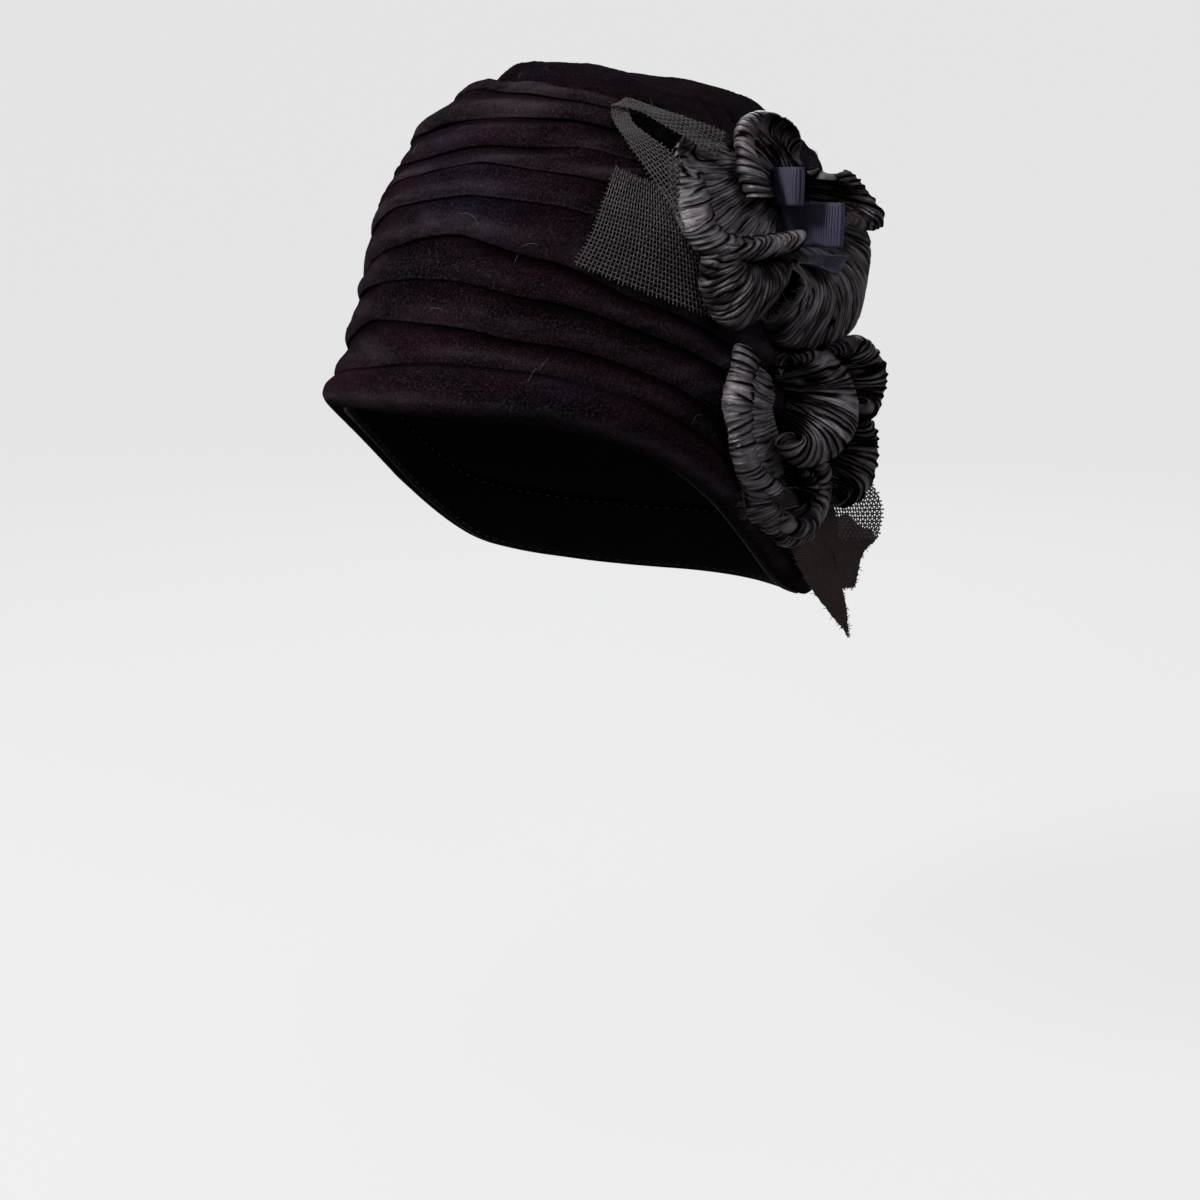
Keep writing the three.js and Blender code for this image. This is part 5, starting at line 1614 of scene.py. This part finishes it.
@dataclass
class Net:
    """A piece of open woven net, from the rows of its left and right edges."""

    form: CrownForm
    node: str
    rows: tuple
    hang: Hang
    flat: tuple[float, float]
    area: float | None = None
    pitch: float = 1.42
    thread_radius: float = 0.29
    seed: int = 1
    close_from: float = 1.0
    close_pitch: float = 1.0
    close_wall: float = 0.35
    end_radius: float = 0.10
    relief: float = 0.17
    sway: float = 0.9
    cells: int = 24
    overreach: float = 0.05
    heights: Array | None = None

    def surface(self, across: Array, down: Array) -> Array:
        """Middle points of the net, at shares across and down it."""
        left, right = self.edges(down)
        azimuth, height, third = np.moveaxis(left + (right - left) * across[..., None], -1, 0)
        form = self.form
        if self.hang is Hang.FREE:
            angle = np.radians(azimuth)
            depth = np.where(np.cos(angle) > 0, form.front_reach, form.back_reach)
            return np.stack([
                form.half_width * third * np.sin(angle),
                -depth * third * np.cos(angle) - form.lean,
                form.height * height - form.seat], axis=-1)
        off = self.bridge(across, down) + third * form.fold_swell
        return form.point(azimuth, form.length_at(height), off)

    def edges(self, down: Array) -> tuple[Array, Array]:
        """Rows of the left and right edge at shares down the net."""
        left, right = (np.array([row[side] for row in self.rows], float) for side in (0, 1))
        return spline(left, down), spline(right, down)

    def measure_bridge(self) -> Array:
        """Height off the crown's base at which the net bridges the folds, on a small grid."""
        shares = np.linspace(-self.overreach, 1 + self.overreach, self.cells)
        across, down = np.meshgrid(shares, shares)
        left, right = self.edges(down)
        azimuth, height, _ = np.moveaxis(left + (right - left) * across[..., None], -1, 0)
        share = self.form.share_at_height(azimuth, height)
        steps = np.linspace(-0.045, 0.045, 9)
        windows = [self.form.outside(azimuth, share + step) for step in steps]
        bridge = 0.5 * np.max(windows, axis=0) + 0.5 * np.mean(windows, axis=0)
        return np.maximum(bridge, windows[len(steps) // 2]) + 0.9

    def bridge(self, across: Array, down: Array) -> Array:
        """Height off the base at shares across and down, from the small grid."""
        if self.heights is None:
            self.heights = self.measure_bridge()
        span = 1 + 2 * self.overreach
        x, y = (
            np.clip((share + self.overreach) / span * (self.cells - 1), 0, self.cells - 1.001)
            for share in (across, down))
        i, j = x.astype(int), y.astype(int)
        fx, fy = x - i, y - j
        low, high = (
            self.heights[row, i] * (1 - fx) + self.heights[row, i + 1] * fx for row in (j, j + 1))
        return low * (1 - fy) + high * fy

    def strands(self) -> list[Array]:
        """Threads one way and the other, over and under by turns, with loose ends."""
        fine = 240
        mid_down = np.linspace(0, min(1.0, self.close_from + 0.12), fine)
        along = run_length(self.surface(np.full(fine, 0.5), mid_down))
        left, right = (self.surface(edge, mid_down) for edge in (np.zeros(fine), np.ones(fine)))
        widest = float((np.linalg.norm(right - left, axis=1) / 2).max())
        rng = np.random.default_rng(self.seed)
        count_down = int(along[-1] / self.pitch)
        count_across = int(2 * widest / self.pitch)
        middle_thread = (count_across - 1) / 2
        offsets = (np.arange(count_across) - middle_thread) * self.pitch
        row_pitch = along[-1] / count_down
        lift = self.thread_radius * 0.92
        strands = []

        def weave(at: Array, offset: Array, turn: float, sign: float) -> Array:
            down = np.interp(at, along, mid_down)
            across = 0.5 + offset / widest / 2
            step = 0.01
            side = self.surface(across + step, down) - self.surface(across - step, down)
            above, below = (self.surface(across, np.clip(down + way, 0, 1)) for way in (-step, step))
            normal = unit(np.cross(side, below - above))
            run = offset / self.pitch if sign > 0 else at / row_pitch
            wave = np.cos(math.pi * (run + turn)) * sign
            return self.surface(across, down) + normal * (lift * wave)[:, None]

        for number in range(count_down):
            last = widest + rng.uniform(0.1, 0.9)
            first = -widest - rng.uniform(0.1, 0.9)
            samples = max(int((last - first) / self.pitch * 4), 4)
            level = np.full(samples, (number + 0.5) * along[-1] / count_down)
            offset = np.linspace(first, last, samples)
            strands.append(weave(level, offset, number + middle_thread, 1.0))
        samples = max(int(along[-1] / self.pitch * 4), 4)
        at = np.linspace(0, along[-1], samples)
        for number, offset in enumerate(offsets):
            line = weave(at, np.full(samples, offset), number + 0.5, -1.0)
            tail = line[-1] + unit(line[-1] - line[-3]) * rng.uniform(0.2, 1.1)
            head = line[0] + unit(line[0] - line[2]) * rng.uniform(0.2, 1.1)
            strands.append(np.concatenate([[head], line, [tail]]))
        return strands

    def close_grid(self) -> tuple[Array, Array, Array]:
        """Closely woven part of the piece: its points, the relief of its threads and its places."""
        left, _ = self.edges(np.linspace(self.close_from, 1, 200))
        columns, row_step = 84, 0.27
        rows = int(np.abs(np.diff(left[:, 1])).sum() * self.form.height / row_step)
        across, down = np.meshgrid(np.linspace(0, 1, columns), np.linspace(0, 1, rows))
        uneven = Lattice(self.seed + 52, 32, 4).at(across * 5, np.zeros_like(across))
        slant = (0.16 * (across - 0.5) + 0.04 * uneven) * (self.close_from > 0)
        start = self.close_from + slant
        down = start + (1 - start) * down
        ragged = Lattice(self.seed + 50, 64, 64).at(down * 60, np.full_like(down, 3.0))
        across = 0.5 + (across - 0.5) * (1 + 0.035 * ragged)
        grid = self.surface(across, down)
        width = np.linalg.norm(grid[:, -1] - grid[:, 0], axis=1)
        along = run_length(grid[:, columns // 2])
        u = (across - 0.5) * width[:, None]
        v = np.broadcast_to(along[:, None], u.shape)
        wave = np.cos(math.pi * u / self.close_pitch) * np.cos(math.pi * v / self.close_pitch)
        sway = Lattice(self.seed + 51, 32, 32).at(across * 2.2, down * 4.0)
        free = np.clip((down - self.close_from) * 5, 0, 1)
        off = self.relief * wave + self.sway * sway * free
        return grid + grid_normals(grid) * off[..., None], wave, np.stack([u, v], axis=-1)

    def loose_ends(self, grid: Array) -> list[Array]:
        """Short ends of yarn that stand out of the close part's sides and lower end."""
        rng = np.random.default_rng(self.seed + 7)
        steps = np.linspace(-0.4, 1, 5)[:, None]
        edges = (grid[:, 0], grid[:, 3]), (grid[:, -1], grid[:, -4]), (grid[-1], grid[-4])
        strands = []
        for ends, before in edges:
            heading = unit(ends - before)
            for k in rng.integers(0, len(ends), int(len(ends) * 0.55)):
                way = heading[k] + rng.normal(0, 0.35, 3)
                strands.append(ends[k] + way * steps * rng.uniform(0.3, 1.3))
        return strands

    def build(self, loom: ThreadLoom, yarn: Material, close: Material) -> None:
        """Args:
            loom: the loom that draws the threads.
            yarn: finish of the open net's threads and of the loose ends.
            close: finish of the closely woven part.
        """
        def draw(label: str, strands: list[Array], radius: float) -> Piece:
            return loom.make(
                label, strands, loom.threads, Thread_Radius=radius * MM, Sides=5,
                Unevenness=0.18, Finish=yarn, Seed=self.seed)

        name = self.node.replace("net_", "woven_")
        loose = []
        if self.close_from >= 1:
            piece = draw(name, self.strands(), self.thread_radius)
        else:
            if self.close_from > 0:
                loose.append(draw(f"{name}_open", self.strands(), self.thread_radius))
            grid, wave, uv = self.close_grid()
            draft = MeshDraft()
            draft.add_cloth(grid, uv, self.close_wall, wave)
            piece = draft.finish(name, [close])
            loose.append(draw(f"{name}_ends", self.loose_ends(grid), self.end_radius))
        declare(piece, self.node)
        for threads in loose:
            declare(threads)
        report(piece)


NET_TAB_ROWS = (
    ((44, 0.67, 0.0), (62, 0.58, 0.2)), ((42, 0.58, 0.0), (64, 0.50, 0.3)),
    ((40, 0.49, 0.0), (66, 0.38, 0.2)), ((37, 0.41, 0.0), (68, 0.25, 0.1)))
NET_LOOP_ROWS = (
    ((59, 0.50, 0.9), (66, 0.58, 1.1)), ((51, 0.66, 0.6), (57, 0.70, 0.8)),
    ((43.5, 0.78, 0.3), (48, 0.78, 0.5)), ((42, 0.815, 0.3), (46, 0.84, 0.5)),
    ((42.5, 0.816, 0.7), (46.5, 0.840, 0.9)), ((50, 0.795, 1.0), (51.5, 0.820, 1.1)),
    ((58.5, 0.742, 1.3), (59.5, 0.785, 1.5)), ((67, 0.68, 1.6), (70, 0.745, 1.8)))
NET_POINT_ROWS = (
    ((82, -0.20, 0.96), (98, -0.22, 0.96)), ((84, -0.29, 0.99), (100, -0.34, 1.06)),
    ((87, -0.38, 0.99), (103, -0.44, 1.06)), ((93.5, -0.54, 1.005), (105.5, -0.56, 1.05)),
    ((101, -0.68, 1.05), (107, -0.67, 1.075)), ((106.0, -0.768, 1.09), (107.6, -0.764, 1.095)))
NET_SQUARE_ROWS = (
    ((96, -0.18, 0.95), (112, -0.18, 0.98)), ((97, -0.30, 1.02), (113, -0.32, 1.16)),
    ((100, -0.42, 1.04), (114.5, -0.46, 1.165)), ((103.5, -0.52, 1.045), (113, -0.52, 1.11)),
    ((106, -0.63, 1.03), (112, -0.625, 1.08)))


# Ribbon.


@dataclass
class Ribbon:
    """What every piece of ribbed ribbon has: its rose, its cut size and its ribs."""

    rose: Rose
    node: str
    flat: tuple[float, float]
    root: tuple
    tip: tuple
    wall: float = 0.55
    rib_pitch: float = 1.05
    rib_depth: float = 0.20
    steps_per_rib: int = 5

    def ribs(self, length: Array, columns: Array) -> Array:
        """Rise and fall of the cross ribs, rows along the ribbon by columns across it."""
        return np.cos(2 * math.pi * length / self.rib_pitch)[:, None] * np.ones_like(columns)

    def finish(self, grid: Array, uv: Array, tone: Array, grosgrain: Material) -> None:
        """Args:
            grid: middle points, rows along the ribbon by columns across it.
            uv: places on the cloth in millimetres.
            tone: how raised the cloth is at each point, which the finish paints as shade between the
                ribs.
            grosgrain: the ribbon's finish.
        """
        draft = MeshDraft()
        draft.add_cloth(grid, uv, self.wall, tone)
        name = self.node.replace("ribbon_", "ribbed_")
        piece = declare(draft.finish(name, [grosgrain]), self.node)
        report(piece)


@dataclass
class RibbonLoop(Ribbon):
    """A loop of ribbon that stands out from the middle of a rose."""

    width: float = 12.0
    opening: float = 5.0
    gap: float = 0.12
    columns: int = 15
    bow: float = 0.35

    def build(self, grosgrain: Material) -> None:
        root, tip = (self.rose.place(np.array(end)) for end in (self.root, self.tip))
        reach = float(np.linalg.norm(tip - root))
        along = (tip - root) / reach
        side = unit(np.cross(along, np.array([0, 0, 1.0])))
        strip = unit(np.cross(side, along))
        count = int((2 * reach + self.opening) / self.rib_pitch) * self.steps_per_rib
        angle = np.linspace(self.gap, 2 * math.pi - self.gap, count)
        squash = np.sign(np.sin(angle)) * np.abs(np.sin(angle)) ** 0.55
        middle = (root + tip) / 2 - along * (reach / 2 * np.cos(angle))[:, None]
        path = middle + side * (self.opening / 2 * squash)[:, None]
        length = run_length(path)
        width = np.linspace(-0.5, 0.5, self.columns)
        bow = 0.5 * np.cos(math.pi * width)
        grid = path[:, None] + strip * (width * self.width)[None, :, None]
        edge = np.minimum(1, (0.5 - np.abs(width)) * 12)
        wave = self.ribs(length, width)
        off = self.rib_depth * wave * edge + self.bow * bow
        grid = grid + grid_normals(grid) * off[..., None]
        uv = np.stack(np.broadcast_arrays(length[:, None], width * self.width), axis=-1)
        self.finish(grid, uv, wave * edge, grosgrain)


@dataclass
class RibbonTail(Ribbon):
    """The short folded end of the ribbon below its loops, from its root edge to its tip edge."""

    columns: int = 17
    bow: float = 0.5
    margin: float = 0.8
    cloth_width: float = 12.0

    def build(self, grosgrain: Material) -> None:
        place = np.linspace(0, 1, self.columns)
        root, tip = (self.rose.place(spline(np.array(edge), place)) for edge in (self.root, self.tip))
        size = float(np.linalg.norm(tip - root, axis=1).mean())
        down = np.linspace(0, 1, int(size / self.rib_pitch) * self.steps_per_rib)
        grid = root + (tip - root) * down[:, None, None]
        wave = self.ribs(down * size, place)
        off = self.rib_depth * wave + self.bow * np.sin(math.pi * place)
        grid = self.rose.form.push_clear(grid + grid_normals(grid) * off[..., None], self.margin)
        uv = np.stack(
            np.broadcast_arrays((down * size)[:, None], place * self.cloth_width), axis=-1)
        self.finish(grid, uv, wave, grosgrain)


# Studio.


@dataclass(frozen=True)
class Lamp:
    """One soft square light: its place and side in metres, its power in watts and its colour."""

    name: str
    place: Triple
    side: float
    power: float
    colour: Triple


@dataclass
class Studio:
    """Pale floor, soft light and the camera. Sizes are in metres."""

    camera_place: Triple = (0.39670, -0.48577, -0.05416)
    camera_aim: Triple = (0.00871, -0.02229, -0.18290)
    lens: float = 51.0
    sensor: float = 36.0
    floor_height: float = -0.365
    floor_radius: float = 1.6
    wall_radius: float = 3.4
    wall_height: float = 1.8
    floor_rings: int = 8
    bend_rings: int = 19
    columns: int = 96
    pale: Colour = (0.06, 0.06, 0.06, 1)
    glow: float = 0.755
    air: tuple[float, float] = (0.32, 0.22)
    lamp_aim: Triple = (0.0, -0.02, -0.09)
    lamps: tuple[Lamp, ...] = (
        Lamp("key", (-0.45, -0.95, 0.75), 0.34, 30.0, (1.0, 0.985, 0.97)),
        Lamp("side", (1.15, -0.35, 0.60), 0.40, 6.0, (0.97, 0.98, 1.0)),
        Lamp("top", (0.0, -0.15, 1.05), 0.55, 3.5, (1.0, 1.0, 1.0)),
        Lamp("back", (-0.7, 1.1, 0.7), 0.6, 12.0, (0.84, 0.90, 1.0)))

    @staticmethod
    def stand(name: str, data: bpy.types.ID, place: Triple, aim: Triple) -> Piece:
        """Puts a camera or a light in its place, facing a point."""
        item = link(name, data)
        item.location = place
        item.rotation_euler = (Vector(aim) - Vector(place)).to_track_quat("-Z", "Y").to_euler()
        return item

    def build_camera(self) -> None:
        """Puts the camera in its place."""
        data = bpy.data.cameras.new("camera")
        data.lens, data.sensor_width = self.lens, self.sensor
        data.clip_start, data.clip_end = 0.01, 50.0
        camera = self.stand("camera", data, self.camera_place, self.camera_aim)
        bpy.context.scene.camera = camera

    def floor_looks(self, bench: Bench) -> dict:
        """Inputs of the floor's pale finish, which gives its own even light."""
        place = bench.add("ShaderNodeTexCoord").outputs["Object"]
        grain = bench.add("ShaderNodeTexNoise", {"Vector": place, "Scale": 3.0})
        soft = tuple(0.985 * value for value in self.pale[:3]) + (1,)
        return {
            "Base Color": bench.mix(grain.outputs["Fac"], self.pale, soft),
            "Roughness": 0.9,
            "Specular IOR Level": 0.0,
            "Emission Color": (1, 1, 1, 1),
            "Emission Strength": self.glow}

    def build_floor(self) -> None:
        """Makes a round floor that rises into a wall and lights nothing but the picture."""
        bend = np.linspace(0, math.pi / 2, self.bend_rings + 1)[1:]
        turn = self.wall_radius - self.floor_radius
        flat = np.linspace(0.02, self.floor_radius, self.floor_rings)
        radius = np.concatenate([
            flat, self.floor_radius + turn * np.sin(bend), [self.wall_radius]])
        height = np.concatenate([
            np.zeros(self.floor_rings), turn * (1 - np.cos(bend)), [self.wall_height]])
        count = self.columns
        angle = np.linspace(0, 2 * math.pi, count + 1)[:-1]
        rows = np.stack([
            radius[:, None] * np.cos(angle), radius[:, None] * np.sin(angle),
            np.broadcast_to((height + self.floor_height)[:, None], (len(radius), count))], axis=-1)
        points = rows.reshape(-1, 3).tolist() + [(0.0, 0.0, self.floor_height)]
        faces = []
        for first in range(0, count * (len(radius) - 1), count):
            for column in range(count):
                a, b = first + column, first + (column + 1) % count
                faces.append((a, a + count, b + count, b))
        faces += [(len(points) - 1, k, (k + 1) % count) for k in range(count)]
        mesh = bpy.data.meshes.new("studio_floor")
        mesh.from_pydata(points, [], faces)
        mesh.polygons.foreach_set("use_smooth", np.ones(len(faces), bool))
        mesh.materials.append(new_material("pale floor", self.floor_looks))
        floor = link("studio_floor", mesh)
        floor.visible_diffuse = False
        floor.visible_glossy = False

    def build_lamps(self) -> None:
        """Adds the soft square lights, which the camera doesn't see."""
        for lamp in self.lamps:
            data = bpy.data.lights.new(lamp.name, "AREA")
            data.shape, data.size = "SQUARE", lamp.side
            data.energy, data.color = lamp.power, lamp.colour
            self.stand(lamp.name, data, lamp.place, self.lamp_aim).visible_camera = False

    def build_air(self) -> None:
        """Makes the air: pale at the height of the eye, dimmer overhead."""
        world = bpy.data.worlds.new("studio air")
        world.use_nodes = True
        bench = Bench(world.node_tree)
        place = bench.add("ShaderNodeTexCoord").outputs["Generated"]
        up = bench.add("ShaderNodeSeparateXYZ", {0: place}).outputs["Z"]
        bench.fill(world.node_tree.nodes["Background"], {
            "Strength": bench.remap(up, 0.25, 0.75, self.air), "Color": (1, 1, 1, 1)})
        bpy.context.scene.world = world

    def build(self) -> None:
        """Sets up the whole studio."""
        self.build_camera()
        self.build_floor()
        self.build_lamps()
        self.build_air()
        bpy.context.scene.view_settings.view_transform = "Standard"
        LOG.info("studio: floor at %.3f m", self.floor_height)


def main() -> None:
    """Builds the studio, then the hat piece by piece."""
    logging.basicConfig(level=logging.INFO, format="%(name)s: %(message)s")
    Studio().build()
    groups = ShaderGroups()
    loom = ThreadLoom()
    velvet = VelvetFinish(groups).build()
    lining = LiningFinish(groups).build()
    band = LiningFinish(
        groups, name="band ribbon", pitch=(0.0011, 0.0004), roughness=(0.45, 0.6)).build()
    close = LiningFinish(
        groups, name="close net", shade=(0.0012, 0.0008, 0.0009, 1),
        light=(0.0480, 0.0320, 0.0330, 1), pitch=(0.0010, 0.0010), roughness=(0.7, 0.9)).build()
    lint = ThreadFinish(
        groups, name="lint", shade=(0.05, 0.05, 0.05, 1), light=(0.12, 0.115, 0.12, 1)).build()
    taffeta = TaffetaFinish(groups).build()
    yarn = ThreadFinish(groups).build()
    grosgrain = GrosgrainFinish(groups).build()
    form = CrownForm()
    VelvetCrown(form, velvet, lining, band, loom, yarn, lint).build()
    upper = Rose(
        form, taffeta, yarn, azimuth=82, height=0.505, half_width=28.5, half_height=40,
        stand_off=28, curl_radius=4.6, petals=UPPER_PETALS, seed=100)
    lower = Rose(
        form, taffeta, yarn, azimuth=84, height=-0.13, half_width=24, half_height=33,
        stand_off=29, curl_radius=4.4, petals=LOWER_PETALS, seed=200)
    for rose in (upper, lower):
        rose.build(loom)
    nets = (
        Net(form, "net_tab", NET_TAB_ROWS, Hang.ON_VELVET, (0.036, 0.038),
            seed=11, thread_radius=0.195),
        Net(form, "net_loop", NET_LOOP_ROWS, Hang.ON_VELVET, (0.0101, 0.094),
            seed=12, pitch=1.5, thread_radius=0.22),
        Net(form, "net_tail_point", NET_POINT_ROWS, Hang.FREE, (0.024, 0.075), 0.0012,
            seed=13, close_from=0.0),
        Net(form, "net_tail_square", NET_SQUARE_ROWS, Hang.FREE, (0.024, 0.030),
            seed=14, close_from=0.42),
    )
    for net in nets:
        net.build(loom, yarn, close)
    ribbons = (
        RibbonLoop(
            upper, "ribbon_loop_small", (0.012, 0.062), (0.30, 0.36, 0.02), (-0.10, 0.34, 0.76),
            width=12, opening=5),
        RibbonLoop(
            upper, "ribbon_loop_large", (0.014, 0.066), (0.34, 0.06, 0.02), (0.20, 0.04, 0.96),
            width=14, opening=4),
        RibbonTail(
            upper, "ribbon_tail", (0.013, 0.024),
            ((0.30, -0.24, 0.02), (0.42, -0.22, 0.02), (0.54, -0.18, 0.02)),
            ((0.10, -0.28, 0.74), (0.28, -0.34, 0.80), (0.40, -0.20, 0.84))),
    )
    for ribbon in ribbons:
        ribbon.build(grosgrain)


if __name__ == "__main__":
    main()
